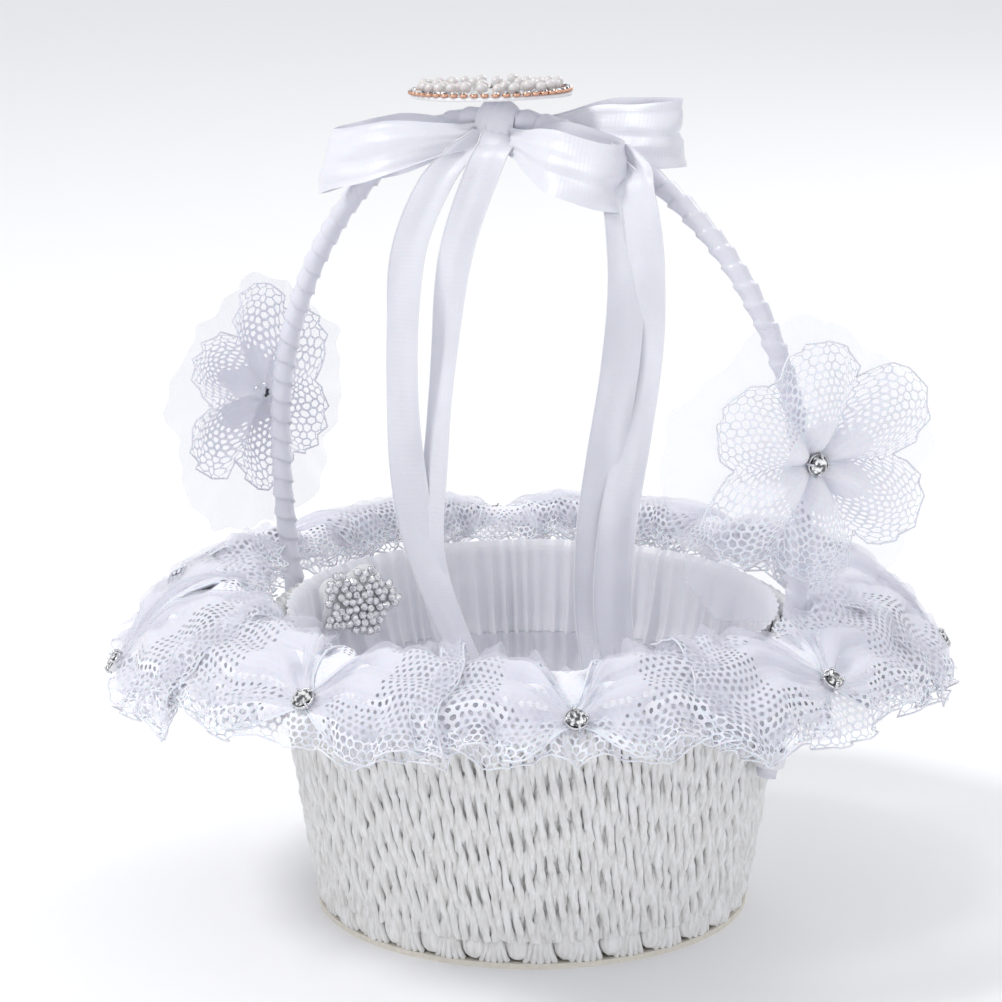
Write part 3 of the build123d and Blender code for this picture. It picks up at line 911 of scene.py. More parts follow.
def lattice_mesh(name, rule, length, width, hole, closed=False, seed=1, cell=LACE_CELL):
    """Triangles over a length by width strip, shaped by rule(u, v), with a hole size on each point."""
    rng = random.Random(seed)
    columns = max(6, round(length / cell))
    rows = max(4, round(width / (cell * 0.866)))
    count = columns if closed else columns + 1
    points, sizes = [], []
    for j in range(rows + 1):
        for i in range(count):
            shift = 0.5 * (j % 2)
            u = (i + shift) / columns + rng.uniform(-0.27, 0.27) / columns
            v = (j + rng.uniform(-0.27, 0.27)) / rows
            if not closed:
                u = 0.0 if i == 0 else 1.0 if i == columns else u
            v = 0.0 if j == 0 else 1.0 if j == rows else v
            u = u % 1.0 if closed else min(1.0, max(0.0, u))
            points.append(rule(u, v))
            sizes.append(hole(u, v) * rng.uniform(0.9, 1.06))
    faces = []
    for j in range(rows):
        for i in range(columns):
            k = (i + 1) % count
            a, b = j * count + i, j * count + k
            c, d = (j + 1) * count + i, (j + 1) * count + k
            faces += [(a, b, c), (b, d, c)] if j % 2 == 0 else [(a, d, c), (a, b, d)]
    mesh = bpy.data.meshes.new(name)
    mesh.from_pydata(points, [], faces)
    mesh.attributes.new("hole", "FLOAT", "POINT").data.foreach_set("value", sizes)
    return mesh


def lace_tree():
    """Turns a shaped lattice into net: dual cells, inset, opened, with a cord along the edge."""
    tree, inside, outside = start_tree("net_lace", Cord=CORD_R, Thick=0.0002)
    cells = geo(tree, "GeometryNodeDualMesh", {"Mesh": inside.outputs["Geometry"],
                                               "Keep Boundaries": True}).outputs[0]
    raised = geo(tree, "GeometryNodeExtrudeMesh", {"Mesh": cells, "Offset Scale": 0.0,
                                                   "Individual": True}, mode="FACES")
    hole = geo(tree, "GeometryNodeInputNamedAttribute", {"Name": "hole"}, data_type="FLOAT")
    inset = geo(tree, "GeometryNodeScaleElements", {"Geometry": raised.outputs["Mesh"],
                                                    "Selection": raised.outputs["Top"],
                                                    "Scale": hole.outputs[0]}, domain="FACE")
    open_cell = geo(tree, "FunctionNodeCompare", {"A": hole.outputs[0], "B": 0.12},
                    data_type="FLOAT", operation="GREATER_THAN").outputs[0]
    gone = geo(tree, "FunctionNodeBooleanMath", {0: raised.outputs["Top"], 1: open_cell},
               operation="AND").outputs[0]
    net = geo(tree, "GeometryNodeDeleteGeometry", {"Geometry": inset.outputs[0], "Selection": gone},
              domain="FACE").outputs[0]
    near = geo(tree, "GeometryNodeInputMeshEdgeNeighbors").outputs[0]
    edge = geo(tree, "FunctionNodeCompare", {"A": near, "B": 1}, data_type="INT",
               operation="EQUAL").outputs[0]
    line = geo(tree, "GeometryNodeMeshToCurve", {"Mesh": inside.outputs["Geometry"],
                                                 "Selection": edge}).outputs[0]
    section = geo(tree, "GeometryNodeCurvePrimitiveCircle", {"Resolution": 5,
                                                             "Radius": inside.outputs["Cord"]}).outputs[0]
    cord = geo(tree, "GeometryNodeCurveToMesh", {"Curve": line, "Profile Curve": section}).outputs[0]
    both = geo(tree, "GeometryNodeJoinGeometry", {0: net})
    tree.links.new(cord, both.inputs[0])
    end_tree(tree, both.outputs[0], outside, LACE)
    return tree


LACE_TREE = lace_tree()


# %% [markdown]
# ## Rim bows
# Eight pieces of doubled cloth go round the rim, lace on top and organza under it. Each is pinched
# to the collar by a stone, so it fans out both ways: its folds run from the stone, its top edge
# stands up above the rim and its bottom edge hangs in scallops. One rule gives every bow. It finds
# a place on the collar's outline, draws the width together near the stone, and lifts the cloth by
# folds that die out where it is held.

# %% The collar's outline and where each stone sits
COLLAR = ((1.3, 1.0), (6.0, 9.5), (24.5, 6.5), (39.5, -6.5), (47.5, -21.0))
BRAID_OUT = 1.2 * MM
RIM_BOW_AT = (-57, -6, 34, 76, 124, 169, 214, 259)
PINCH_SEGMENT = (3, 2, 2, 2, 3, 2, 2, 2)
OUTLINE = [(wall_r(RIM_TOP) + BRAID_OUT + out * MM, RIM_TOP + up * MM) for out, up in COLLAR]
LENGTHS = [math.dist(a, b) for a, b in zip(OUTLINE, OUTLINE[1:])]


def outline_at(t):
    """Radius, height and outward direction on the collar's outline at a share t of its length."""
    far = max(-0.2, min(1.2, t)) * sum(LENGTHS)
    k = 0
    while k < len(LENGTHS) - 1 and far > LENGTHS[k]:
        far -= LENGTHS[k]
        k += 1
    f = far / LENGTHS[k]
    (r0, z0), (r1, z1) = OUTLINE[k], OUTLINE[k + 1]
    return r0 + (r1 - r0) * f, z0 + (z1 - z0) * f


def soft_outline(t):
    """The outline with its corners eased, by averaging a short stretch of it."""
    spots = [outline_at(t + d) for d in (-0.12, -0.08, -0.04, 0.0, 0.04, 0.08, 0.12)]
    r = sum(s[0] for s in spots) / len(spots)
    z = sum(s[1] for s in spots) / len(spots)
    dr, dz = spots[-1][0] - spots[0][0], spots[-1][1] - spots[0][1]
    n = math.hypot(dr, dz)
    return r, z, -dz / n, dr / n


def pinch_share(i):
    k = PINCH_SEGMENT[i]
    return (sum(LENGTHS[:k]) + LENGTHS[k] / 2) / sum(LENGTHS)


def bow_reach(i):
    """How far a bow runs to its left and right, in radians, half way to its neighbours."""
    n = len(RIM_BOW_AT)
    here = RIM_BOW_AT[i]
    before = RIM_BOW_AT[i - 1] - (360 if i == 0 else 0)
    after = RIM_BOW_AT[(i + 1) % n] + (360 if i == n - 1 else 0)
    return math.radians((here - before) / 2), math.radians((after - here) / 2)


# %% One rim bow's shape
WING_LAP = 1.10
PINCH_WIDTH = 0.10
HANG = (0.93, 0.80, 0.75, 0.84, 0.92, 0.84, 0.80, 0.88)   # how low each bow's lower edge hangs


def bow_rule(i, under=0.0, phase=0.0, grow=0.0, pinched=True):
    """rule(u, v) for bow i: u runs along the rim, v from the standing edge to the hanging one."""
    left, right = bow_reach(i)
    middle = math.radians(RIM_BOW_AT[i])
    rng = random.Random(40 + i + int(phase * 10))
    turns = [rng.uniform(0, math.tau) for _ in range(6)]
    held = pinch_share(i)

    def rule(u, v):
        s = 2 * u - 1
        side = abs(s)
        held_in = PINCH_WIDTH if pinched else 1.0
        beta = middle + s * (left if s < 0 else right) * WING_LAP
        beta += 0.018 * math.sin(v * 9 + turns[5]) * ease((side - 0.6) * 3)
        spread = held_in + (1 - held_in) * ease(side / 0.36) ** 0.7
        spread *= 1 - 0.16 * ease((side - 0.7) / 0.3)
        near_leg = min(abs(math.degrees(beta) - 90), abs(math.degrees(beta) + 90),
                       abs(math.degrees(beta) - 270))
        top = -0.02 - grow + 0.16 * math.exp(-(near_leg / 7.0) ** 2)
        bottom = HANG[i] + grow + 0.035 * math.sin(side * 11 + turns[0])
        full = top + v * (bottom - top)
        t = held + (full - held) * spread
        r, z, nr, nz = soft_outline(t)
        away = ease(side * 1.9) if pinched else 0.8 + 0.2 * side
        lift = 0.3 * MM + away * 3.0 * MM * math.sin(math.pi * (0.12 + 0.76 * v))
        folds = math.sin(math.tau * 3.2 * v + turns[1] + 1.2 * math.sin(side * 5))
        lift += folds * 1.9 * MM * ease(side * 4) * (1 - 0.45 * side)
        gathers = math.sin(math.tau * 8.5 * v + turns[0] + 2.0 * side)
        gathers += 0.5 * math.sin(math.tau * 13 * v + turns[4])
        lift += 0.60 * MM * gathers * ease(side * 5) * (1 - 0.65 * side)
        edge = abs(2 * v - 1) ** 2.2
        which = turns[2] if v < 0.5 else turns[3]
        lift += edge * away * 2.6 * MM * math.sin(side * 21 + which + phase)
        lift += edge * away * 1.4 * MM * math.sin(side * 43 + 2 * which)
        stand = ease((0.45 - v) / 0.45) * away
        z += stand * (2.6 + 2.0 * math.sin(side * 16 + turns[4])) * MM
        lift += 0.9 * MM * (1 if i % 2 else -0.3) * ease((side - 0.75) * 4)
        lift -= under
        r, z = r + nr * lift, z + nz * lift
        return (r * math.sin(beta), -r * math.cos(beta), z)
    return rule


def bow_hole(u, v):
    """Closed near the stone, opening towards the ends and the free edges."""
    side = abs(2 * u - 1)
    edge = abs(2 * v - 1)
    far = max(side * 0.80, edge * ease(side * 2.4))
    return 0.0 if far < 0.40 else min(0.85, 0.40 + 0.75 * (far - 0.40))


def bow_density(u, v):
    side = abs(2 * u - 1)
    edge = abs(2 * v - 1)
    return max(0.0, 1.0 - 0.85 * max(side ** 4, edge ** 5 * ease(side * 2.5)))


COLLAR_R = 0.118       # the collar's middle radius


def ruffle_hole(u, v):
    """The under-ruffle is closed along its middle and opens towards its two edges."""
    edge = abs(2 * v - 1)
    return 0.0 if edge < 0.40 else min(0.84, 0.42 + 0.70 * (edge - 0.40))




def cloth_left(hole, samples=40):
    """The share of a lace cut that its holes leave: a hole of size s takes s squared of its cell."""
    spots = [(k + 0.5) / samples for k in range(samples)]
    return sum(1 - hole(u, v) ** 2 for u in spots for v in spots) / samples ** 2


def rim_layers(i):
    """Four layers, from the rim outwards: dense organza, lace ruffle, lace bow, sheer bow."""
    number = i + 1
    length = sum(bow_reach(i)) * WING_LAP * COLLAR_R
    width = (HANG[i] + 0.02) * sum(LENGTHS)     # down the outline, from the standing edge to the hanging one
    size = (length, width)
    ruffle = bow_rule(i, 3.0 * MM, 2.3, 0.015, pinched=False)
    ruffle_net = lattice_mesh("ruffle_lattice", ruffle, length, width, ruffle_hole, seed=30 + i)
    net = run_tree(LACE_TREE, ruffle_net, f"lace_ruffle_{number}", LACE)
    bow_net = lattice_mesh("bow_lattice", bow_rule(i, 0.5 * MM), length, width, bow_hole, seed=i)
    bow = run_tree(LACE_TREE, bow_net, f"lace_bow_{number}", LACE)
    base_rule = bow_rule(i, 3.8 * MM, 0.9, -0.03, pinched=False)
    base = grid_mesh("organza_base", base_rule, 88, 30, size, density=lambda u, v: 1 - 0.6 * abs(2 * v - 1) ** 3)
    base = link(base, f"organza_ruffle_{number}", ORGANZA)
    sheer = grid_mesh("organza_bow", bow_rule(i, -0.7 * MM, 0.0, -0.07), 104, 44, size, density=bow_density)
    sheer = link(sheer, f"organza_bow_{number}", ORGANZA)
    place(bow, "lace", f"rim_lace_{number}")
    place(net, "lace", f"rim_lace_{number}")
    place(sheer, "organza", f"rim_organza_{number}")
    place(base, "organza", f"rim_organza_{number}")
    for piece, hole in ((net, ruffle_hole), (bow, bow_hole)):
        length * width * cloth_left(hole)


for i in range(len(RIM_BOW_AT)):
    rim_layers(i)

# %% [markdown]
# ## Leg flowers
# On each leg a strip of the same lace is gathered at the middle into a rosette of about seven
# petals, over a round of organza. A strip gathered along one edge is exactly a lattice whose inner
# edge is drawn to a point: the cells crowd there and open at the petals' ends, as on the real one.

# %% Flowers
FLOWER_Z = RIM_TOP + 57 * MM
FLOWERS = {"right": (55.0, 38 * MM, 1), "left": (-100.0, 33 * MM, -1)}
PETALS = 6
PETAL_REACH = 1.0
ORGANZA_OFF = WRAP_R + 1.1 * MM


def flower_frame(side):
    """Centre and three directions of a flower: level, up and out."""
    facing, _, sign = FLOWERS[side]
    a = math.radians(facing)
    out = Vector((math.sin(a), -math.cos(a), 0))
    level = Vector((0, 0, 1)).cross(out).normalized()
    centre = Vector((sign * SPRING_X, 0, FLOWER_Z)) + out * ORGANZA_OFF
    return centre, level, Vector((0, 0, 1)), out


def flower_rule(side, sheer=False):
    centre, level, up, out = flower_frame(side)
    radius = FLOWERS[side][1]
    rng = random.Random(77 if side == "right" else 21)
    reach = [PETAL_REACH * rng.uniform(0.88, 1.10) for _ in range(PETALS)]
    tip = [rng.uniform(-1.5, 4.5) for _ in range(PETALS)]

    def rule(u, v):
        a = math.tau * u
        k = u * PETALS
        petal = int(k) % PETALS
        inside = k - int(k)
        bell = math.sin(math.pi * inside)
        if sheer:
            r = (0.05 + 0.95 * v) * (radius + 6 * MM) * (1 + 0.05 * math.sin(5 * a) + 0.02 * math.sin(17 * a))
            lift = (0.3 + 1.5 * v * v * math.sin(9 * a) + 0.8 * v ** 3 * math.sin(23 * a)) * MM
        else:
            r = (0.06 + 0.94 * v) * radius * petal_outline(reach[petal], inside)
            crown = bell ** 0.8
            lift = 1.5 + v ** 1.1 * (1.0 + tip[petal] * crown) + 8.0 * crown * math.sin(math.pi * v ** 0.75) \
                + 1.6 * v ** 2 * math.sin(a * 29) + 1.0 * math.sin(a * 43) * math.sin(math.pi * v)
            lift *= MM
        p = centre + level * (r * math.cos(a)) + up * (r * math.sin(a)) + out * lift
        if sheer:
            p += (level * -5.0 * MM * FLOWERS[side][2] - up * 3.0 * MM) * v
        return (p.x, p.y, p.z)
    return rule


def petal_outline(reach, inside):
    """How far the petals' edge is out, as a share of the flower's radius."""
    return 0.60 + (reach - 0.60) * math.sin(math.pi * inside) ** 0.42


def flower_hole(u, v):
    return 0.0 if v < 0.36 else min(0.85, 0.50 + 0.60 * (v - 0.36))


for side, (facing, radius, sign) in FLOWERS.items():
    strip = math.tau * radius * 0.95
    net = lattice_mesh(f"petals_{side}", flower_rule(side), strip, radius * 1.15, flower_hole,
                       closed=True, seed=5 + sign, cell=3.2 * MM)
    lace = run_tree(LACE_TREE, net, f"lace_flower_{side}", LACE)
    place(lace, "lace", f"flower_lace_{side}")
    sheer = link(grid_mesh(f"organza_round_{side}", flower_rule(side, True), 160, 26,
                           (strip, radius), True, lambda u, v: 0.35 * (1 - v) + 0.75 * (v > 0.97)),
                 f"organza_round_{side}", ORGANZA)
    place(sheer, "organza", f"flower_organza_{side}")
    petals = sum(petal_outline(PETAL_REACH, k / 40) ** 2 for k in range(40)) / 40
    cut_area = math.pi * radius ** 2 * petals * cloth_left(flower_hole)

# %% [markdown]
# ## Stones in their claws
# Each stone is a cut glass chaton in a small silver cup with four claws. A cut stone reads by its
# flat facets, so it is left unsmoothed: a table, a ring of crown facets and a pointed back. The
# tree stands one on each point and turns it by the direction stored there.

# %% Where the stones sit
def stone_spots():
    """Point and outward direction of every set stone, as the frame has them."""
    spots = []
    for i, beta in enumerate(math.radians(b) for b in RIM_BOW_AT):
        k = PINCH_SEGMENT[i]
        (r0, z0), (r1, z1) = OUTLINE[k], OUTLINE[k + 1]
        out = Vector((math.sin(beta), -math.cos(beta), 0))
        normal = (out * (z0 - z1) + Vector((0, 0, r1 - r0))).normalized()
        spots.append((out * ((r0 + r1) / 2) + Vector((0, 0, (z0 + z1) / 2)), normal))
    for side in FLOWERS:
        centre, _, _, out = flower_frame(side)
        spots.append((centre + out * 2.0 * MM, out))
    return spots


def points_mesh(name, spots):
    """Points with a direction on each, for a tree to stand things on."""
    mesh = bpy.data.meshes.new(name)
    mesh.from_pydata([tuple(p) for p, _ in spots], [], [])
    ways = mesh.attributes.new("way", "FLOAT_VECTOR", "POINT")
    ways.data.foreach_set("vector", [c for _, n in spots for c in n])
    return mesh


def lathe_mesh(name, profile, sides, spin=0.0):
    """Facets turned about Z from (radius, height) points; a zero radius closes an end."""
    verts, faces, rows = [], [], []
    for j, (r, z) in enumerate(profile):
        if r == 0:
            rows.append([len(verts)] * sides)
            verts.append((0, 0, z))
            continue
        rows.append([len(verts) + k for k in range(sides)])
        turn = spin * j
        verts += [(r * math.cos(math.tau * (k + turn) / sides), r * math.sin(math.tau * (k + turn) / sides), z)
                  for k in range(sides)]
    for lower, upper in zip(rows, rows[1:]):
        for k in range(sides):
            ring = [lower[k], lower[(k + 1) % sides], upper[(k + 1) % sides], upper[k]]
            ring = [v for n, v in enumerate(ring) if v not in ring[:n]]
            faces.append(tuple(ring))
    mesh = bpy.data.meshes.new(name)
    mesh.from_pydata(verts, [], faces)
    return mesh


def stand_tree(name, shape, mat, smooth=False):
    """A copy of the shape on each point, its Z along the stored direction."""
    tree, inside, outside = start_tree(name, Size=1.0)
    source = geo(tree, "GeometryNodeObjectInfo", {"Object": shape}).outputs["Geometry"]
    way = geo(tree, "GeometryNodeInputNamedAttribute", {"Name": "way"}, data_type="FLOAT_VECTOR")
    turn = geo(tree, "FunctionNodeAlignRotationToVector", {"Vector": way.outputs[0]}, axis="Z").outputs[0]
    stood = geo(tree, "GeometryNodeInstanceOnPoints", {"Points": inside.outputs["Geometry"],
                                                       "Instance": source, "Rotation": turn,
                                                       "Scale": inside.outputs["Size"]}).outputs[0]
    real = geo(tree, "GeometryNodeRealizeInstances", {0: stood}).outputs[0]
    flat = geo(tree, "GeometryNodeSetShadeSmooth", {"Geometry": real, "Shade Smooth": smooth}).outputs[0]
    painted = geo(tree, "GeometryNodeSetMaterial", {"Geometry": flat, "Material": mat}).outputs[0]
    tree.links.new(painted, outside.inputs[0])
    return tree


def stand_copies(name, shape_mesh, spots, mat, smooth=False, size=1.0):
    shape = bpy.data.objects.new(name + "_one", shape_mesh)
    bpy.context.scene.collection.objects.link(shape)
    obj = run_tree(stand_tree(name, shape, mat, smooth), points_mesh(name + "_spots", spots), name, mat,
                   Size=size)
    bpy.data.objects.remove(shape)
    if not smooth:
        obj.data.shade_flat()
    return obj


def claw_cup():
    """A cup open at the top with four claws bent over the stone's edge."""
    cup = [(0, 0.1), (2.4, 0.1), (3.1, 0.7), (3.35, 1.9), (3.2, 2.3), (2.95, 2.2), (2.85, 1.2), (0, 1.0)]
    mesh = lathe_mesh("cup", [(r * MM, z * MM) for r, z in cup], 20)
    verts = [v.co.copy() for v in mesh.vertices]
    faces = [tuple(p.vertices) for p in mesh.polygons]
    for k in range(4):
        a = math.tau * (k + 0.5) / 4
        path = [(3.3, 0.8), (3.45, 2.2), (3.1, 3.1), (2.3, 3.5)]
        line = smooth_line([(r * MM * math.cos(a), r * MM * math.sin(a), z * MM) for r, z in path], 8)
        claw = tube_mesh("claw", line, 0.42 * MM, 6)
        base = len(verts)
        verts += [v.co.copy() for v in claw.vertices]
        faces += [tuple(base + i for i in p.vertices) for p in claw.polygons]
    made = bpy.data.meshes.new("claw_cup")
    made.from_pydata(verts, [], faces)
    return made


CHATON = [(0, 0.9), (1.5, 1.3), (2.8, 2.4), (2.7, 2.7), (2.15, 3.35), (1.5, 3.6), (0, 3.6)]
set_stones = stand_copies("set_stones", lathe_mesh("chaton", [(r * MM, z * MM) for r, z in CHATON], 8, 0.5),
                          stone_spots(), STONE)
place(set_stones, "stone_glass", "stones")
cups = stand_copies("claw_cups", claw_cup(), stone_spots(), SILVER, True)
place(cups, "setting_metal", "stone_settings")

# %% [markdown]
# ## The ribbon bow and its tails
# The bow is a wide satin ribbon: one loop to the left, two to the right, one in front of the arch
# and one behind. A loop is a closed teardrop seen from above, upright, gathered narrow at the knot
# and full width at its end, and it droops with its own weight. The tails are narrower ribbon with
# a row of tiny loops woven along each edge; they hang from the knot in long slow curves, turn on
# edge here and there, and end inside the basket.

# %% Ribbon helper
RIBBON_W = 19.5 * MM
TAIL_W = 11 * MM


def ribbon_sheet(name, line, width, tilt, along=120, across=12, crease=0.0, seed=0.0):
    """A ribbon along a line. tilt(t) gives its width direction, width(t) its width at a share t."""
    pts = smooth_line(line, along + 1)

    def rule(u, v):
        k = min(along, int(round(u * along)))
        w = (v - 0.5) * width(u)
        long_folds = noise.noise(Vector((u * 9, v * 2.5, seed)))
        curl = crease * (long_folds + 0.6 * noise.noise(Vector((u * 3, v * 7, seed + 5))))
        way = tilt(u)
        ahead = pts[min(k + 1, along)] - pts[max(k - 1, 0)]
        face = way.cross(ahead)
        face = face.normalized() if face.length > 1e-9 else Vector((0, 1, 0))
        return tuple(pts[k] + way * w + face * curl)
    length = sum((b - a).length for a, b in zip(pts, pts[1:]))
    mesh = grid_mesh(name, rule, along, across, (length, max(width(0.0), width(0.5))))
    return link(mesh, name, RIBBON), length


# %% Bow loops
KNOT_LOW, KNOT_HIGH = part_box("bow_knot")
LOOPS = {
    # node: (1 for a loop to the left or -1 to the right, how far it stands open, seed)
    "bow_loop_left": (1, 0.0150, 1.0),
    "bow_loop_right_front": (-1, 0.0150, 2.0),
    "bow_loop_right_back": (-1, 0.0130, 3.0),
}


def loop_line(node, left, opening):
    """Teardrop from the knot out to the loop's end and back, seen from above."""
    low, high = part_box(node)
    inner = high[0] if left > 0 else low[0]
    outer = low[0] if left > 0 else high[0]
    mid_y = (low[1] + high[1]) / 2
    half = 9.5 * MM
    inner_z = high[2] - half if node != "bow_loop_right_back" else low[2] + half
    outer_z = low[2] + half if node != "bow_loop_right_back" else high[2] - half
    points = []
    for k in range(17):
        a = math.pi * 2 * k / 16
        out = (1 - math.cos(a)) / 2
        wide = math.sin(a) * opening * (0.35 + 0.65 * out) * 0.75
        drop = out ** 1.4
        points.append((inner + (outer - inner) * out, mid_y * (0.45 + 0.55 * ease(out * 2)) - wide,
                       inner_z + (outer_z - inner_z) * drop))
    return points


for node, (left, opening, seed) in LOOPS.items():
    line = loop_line(node, left, opening)

    def loop_width(t):
        out = (1 - math.cos(math.tau * t)) / 2
        return RIBBON_W * (0.42 + 0.58 * ease(out * 1.7))

    def loop_tilt(t, left=left):
        lean = 0.34 * math.sin(math.tau * t) + 0.16
        return Vector((0.10 * left, lean, 1)).normalized()
    loop, length = ribbon_sheet(node + "_satin", line, loop_width, loop_tilt, 140, 16,
                                crease=1.7 * MM, seed=seed)
    place(loop, "satin_ribbon", node)


# %% The knot


def knot_rule(u, v):
    """A gathered band of ribbon passed round the handle, tight in the middle."""
    a = math.tau * u
    x = (v - 0.5) * (KNOT_HIGH[0] - KNOT_LOW[0]) * 0.92
    waist = 0.98 - 0.40 * abs(2 * v - 1) ** 3 + 0.03 * math.sin(v * 31) * math.sin(a * 2 + 1)
    mid_z = (KNOT_LOW[2] + KNOT_HIGH[2]) / 2
    y = math.cos(a) * (KNOT_HIGH[1] - KNOT_LOW[1]) / 2 * waist
    z = mid_z + math.sin(a) * (KNOT_HIGH[2] - KNOT_LOW[2]) / 2 * waist
    return ((KNOT_LOW[0] + KNOT_HIGH[0]) / 2 + x, y, z)


knot = link(grid_mesh("knot_satin", knot_rule, 60, 30, (0.045, 0.013), True), "knot_satin", RIBBON)
place(knot, "satin_ribbon", "bow_knot")

# %% Hanging tails
TOP = ARCH_TOP
TAILS = {
    # node: (y it hangs at, middle line as (x, below the top of the arch), how it twists)
    "streamer_1": (-17.5, ((-14, 3), (-19, 9), (-25, 18), (-31, 38), (-34, 63),
                           (-35, 92), (-31, 120), (-23, 140), (-12, 162)), 0.9),
    "streamer_2": (-15.5, ((-10, 1), (-8, 6), (-9, 12), (-17, 38), (-22, 68),
                           (-25, 98), (-26, 128), (-20, 150), (-12, 168)), 2.1),
    "streamer_3": (-17.5, ((31, 4), (38, 10), (41, 16), (45, 36), (45, 62),
                           (42, 88), (38, 114), (36, 140), (40, 166)), 3.4),
    "streamer_4": (-19.5, ((28, 6), (34, 12), (36, 18), (40, 40), (39, 66),
                           (35, 92), (31, 118), (30, 144), (34, 170)), 4.6),
}
TUCK = (0.26, 0.42, 0.72)     # how far forward each tail's first points are, behind the loops
TURNS = {"streamer_1": (0.55, 1.25), "streamer_2": (0.3, 0.55),
         "streamer_3": (0.35, 0.6), "streamer_4": (0.5, 0.5)}


def picot_edge(name, line_points, face, mat):
    """Tiny woven loops along an edge, as beads of thread."""
    spots = [(p, face) for p in line_points]
    bead = lathe_mesh("picot", [(0, -0.22 * MM), (0.3 * MM, 0), (0, 0.22 * MM)], 5)
    return stand_copies(name, bead, spots, mat, True)


for node, (y, drops, seed) in TAILS.items():
    line = []
    for k, (x, d) in enumerate(drops):
        tucked = TUCK[k] if k < len(TUCK) else 1.0
        line.append((x * MM, y * MM * tucked + 1.6 * MM * math.sin(k * 1.3 + seed) * tucked, TOP - d * MM))
    depth, where = TURNS[node]

    def tail_width(t):
        return TAIL_W * (0.55 + 0.45 * ease(t * 9))

    def tail_tilt(t, depth=depth, where=where, seed=seed):
        swing = 0.5 * math.sin(t * 5.2 + seed) + depth * math.exp(-((t - where * 0.6) * 6) ** 2) * 1.6
        return Vector((math.cos(swing), math.sin(swing), 0.04)).normalized()
    tail, length = ribbon_sheet(node + "_satin", line, tail_width, tail_tilt, 200, 8,
                                crease=0.8 * MM, seed=seed)
    place(tail, "satin_ribbon", node)
    rows = [[tail.data.vertices[r * 201 + k].co.copy() for k in range(0, 201)] for r in (0, 8)]
    fine = [p for row in rows for p in smooth_line(row, 330)]
    edge = picot_edge(node + "_picots", fine, Vector((0, -1, 0)), THREAD)
    place(edge, "satin_ribbon")

# %% [markdown]
# ## Brooch and rim ornament
# On top of the knot lies a brooch: an oval of felt, a rose-gold chain of tiny set stones round its
# edge, pearls inside the chain and a row of stones down the middle. A second ornament of closely
# set stones is sewn inside the rim by the left leg. All of these are one bead stood on many points.

# %% Brooch
BROOCH_TILT = math.radians(4)
FELT_SIZE = (53 * MM, 28 * MM, 1.2 * MM)
BROOCH_AT = Vector((APEX_X - 3 * MM, 0, KNOT_HIGH[2] + 0.6 * MM))
BROOCH_TURN = Matrix.Rotation(-BROOCH_TILT, 3, "Y")


def on_brooch(x, y, z):
    """A point on the brooch, whose left end hangs lower."""
    return BROOCH_AT + BROOCH_TURN @ Vector((x, y, z))


UP_BROOCH = BROOCH_TURN @ Vector((0, 0, 1))
PEARL_R = 1.75 * MM
BEAD_R = 1.1 * MM


def ellipse(a, b, count, offset=0.0):
    return [(a * math.cos(math.tau * (k + offset) / count), b * math.sin(math.tau * (k + offset) / count))
            for k in range(count)]


def round_bead(name, radius, sides=14, rings=9):
    profile = [(0, -radius)] + [(radius * math.sin(math.pi * k / rings), -radius * math.cos(math.pi * k / rings))
                                for k in range(1, rings)] + [(0, radius)]
    return lathe_mesh(name, profile, sides)


def cut_bead(name, radius):
    profile = [(0, -radius * 0.5), (radius, 0), (radius * 0.62, radius * 0.6), (0, radius * 0.7)]
    return lathe_mesh(name, profile, 7, 0.5)


def felt_plate():
    length, width, thick = FELT_SIZE
    outline = [(x * (1 + 0.04 * math.cos(6 * math.atan2(y, x))), y) for x, y in
               ellipse(length / 2 - 1.0 * MM, width / 2 - 0.6 * MM, 64)]
    verts = [on_brooch(x * s, y * s, z) for s, z in ((0.98, 0.0), (1.0, 0.3 * MM), (1.0, 0.9 * MM), (0.98, thick))
             for x, y in outline]
    faces = [(r * 64 + k, r * 64 + (k + 1) % 64, (r + 1) * 64 + (k + 1) % 64, (r + 1) * 64 + k)
             for r in range(3) for k in range(64)]
    faces += [tuple(range(64))[::-1], tuple(range(192, 256))]
    mesh = bpy.data.meshes.new("felt_plate")
    mesh.from_pydata(verts, [], faces)
    return link(mesh, "felt_plate", FELT)


place(felt_plate(), "felt", "brooch_felt")
length, width, thick = FELT_SIZE
edge_line = ellipse(length / 2 - 1.2 * MM, width / 2 - 1.2 * MM, 46)
CHAIN_CUP = [(0, 0), (1.15 * MM, 0.1 * MM), (1.3 * MM, 0.8 * MM), (1.0 * MM, 1.1 * MM),
             (0.8 * MM, 0.7 * MM), (0, 0.6 * MM)]
chain_cups = stand_copies("chain_cups", lathe_mesh("chain_cup", CHAIN_CUP, 8),
                          [(on_brooch(x, y, thick), UP_BROOCH) for x, y in edge_line], ROSE, True)
place(chain_cups, "rose_gold", "brooch_chain")
middle_row = [(on_brooch(x * MM, 0.0, thick + BEAD_R), UP_BROOCH) for x in (-15, -11, -7, -3, 1, 5, 9, 13)]
chain_stones = [(on_brooch(x, y, thick + 0.9 * MM), UP_BROOCH) for x, y in edge_line]
place(stand_copies("brooch_glass", cut_bead("cut", 1.05 * MM), chain_stones + middle_row, STONE),
      "stone_glass", "brooch_stones")
pearl_spots = ellipse(length / 2 - 4.6 * MM, width / 2 - 4.4 * MM, 26)
pearl_spots += ellipse(length / 2 - 9 * MM, 4.6 * MM, 14, 0.5)
rng = random.Random(8)
pearl_places = [(on_brooch(x, y, thick + PEARL_R + rng.uniform(0, 0.9) * MM), UP_BROOCH) for x, y in pearl_spots]
pearls = stand_copies("pearls", round_bead("pearl", PEARL_R, 16, 10), pearl_places, PEARL, True)
place(pearls, "pearl", "brooch_pearls")

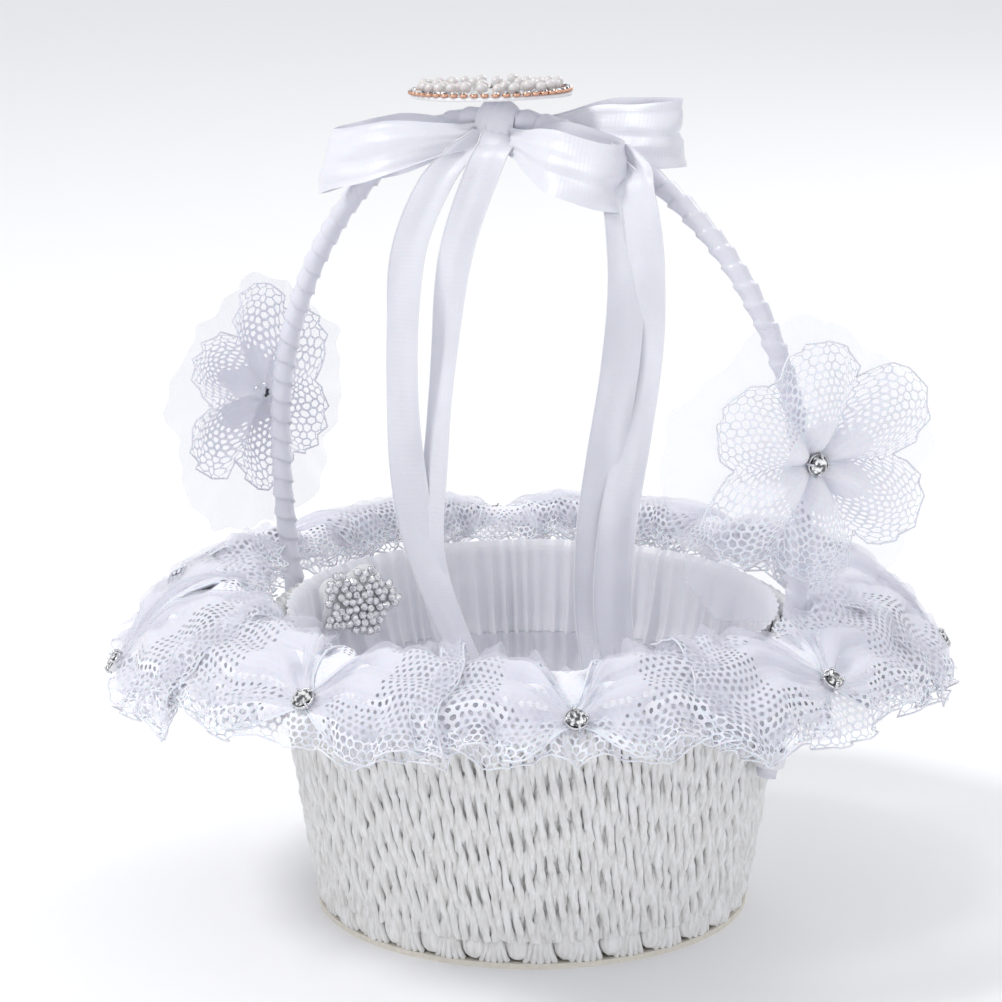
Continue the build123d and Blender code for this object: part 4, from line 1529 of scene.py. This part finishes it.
# %% Ornament inside the rim
STONES_LOW, STONES_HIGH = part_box("applique_stones")
ORNAMENT_AT = -89         # degrees round the rim
ORNAMENT_TURN = 34        # one end stands off the lining, so it faces across the basket
ORNAMENT_FACES = math.radians(ORNAMENT_AT + 180 - ORNAMENT_TURN)
ORNAMENT_SIZE = (29 * MM, 23 * MM)


def ornament_place():
    centre = Vector([(a + b) / 2 for a, b in zip(STONES_LOW, STONES_HIGH)])
    across = Vector((math.sin(ORNAMENT_FACES), -math.cos(ORNAMENT_FACES), 0))
    inward = (Vector((0, 0, SLOPE)) + across).normalized()
    level = Vector((0, 0, 1)).cross(inward).normalized()
    return centre, level, inward.cross(level), inward


def ornament_spots(rows, cols, step, jitter, height, scale=1.0):
    centre, level, up, inward = ornament_place()
    rng = random.Random(13)
    spots = []
    for row in range(-rows, rows + 1):
        for col in range(-cols, cols + 1):
            x = (col + 0.5 * (row % 2)) * step + rng.uniform(-jitter, jitter)
            y = row * step * 0.87 + rng.uniform(-jitter, jitter)
            petal = 0.80 + 0.20 * math.cos(5 * math.atan2(y, x))
            if (x / (ORNAMENT_SIZE[0] / 2)) ** 2 + (y / (ORNAMENT_SIZE[1] / 2)) ** 2 < petal * scale:
                way = (inward + level * rng.uniform(-0.3, 0.3) + up * rng.uniform(-0.3, 0.3)).normalized()
                spots.append((centre + level * x + up * y + inward * height, way))
    return spots


glitter = stand_copies("ornament_glass", cut_bead("glitter", 1.25 * MM),
                       ornament_spots(5, 6, 2.6 * MM, 0.55 * MM, 0.5 * MM), BRIGHT)
place(glitter, "applique_glass", "applique_stones")
TINY_CUP = [(0, -1.0 * MM), (1.1 * MM, -0.9 * MM), (1.3 * MM, 0.3 * MM), (1.0 * MM, 0.1 * MM), (0, 0)]
settings = stand_copies("ornament_cups", lathe_mesh("tiny_cup", TINY_CUP, 8),
                        ornament_spots(5, 6, 2.6 * MM, 0.55 * MM, 0.3 * MM), SILVER, True)
place(settings, "setting_metal")


def ornament_felt():
    centre, level, up, inward = ornament_place()
    verts = []
    for depth in (-1.3 * MM, -2.0 * MM):
        for k in range(48):
            a = math.tau * k / 48
            s = math.sqrt(0.80 + 0.20 * math.cos(5 * a))
            verts.append(centre + level * (ORNAMENT_SIZE[0] / 2 * s * math.cos(a))
                         + up * (ORNAMENT_SIZE[1] / 2 * s * math.sin(a)) + inward * depth)
    faces = [(k, 48 + k, 48 + (k + 1) % 48, (k + 1) % 48) for k in range(48)]
    faces += [tuple(range(48)), tuple(range(48, 96))[::-1]]
    mesh = bpy.data.meshes.new("ornament_felt")
    mesh.from_pydata(verts, [], faces)
    return link(mesh, "ornament_felt", FELT)


place(ornament_felt(), "felt", "applique_backing")
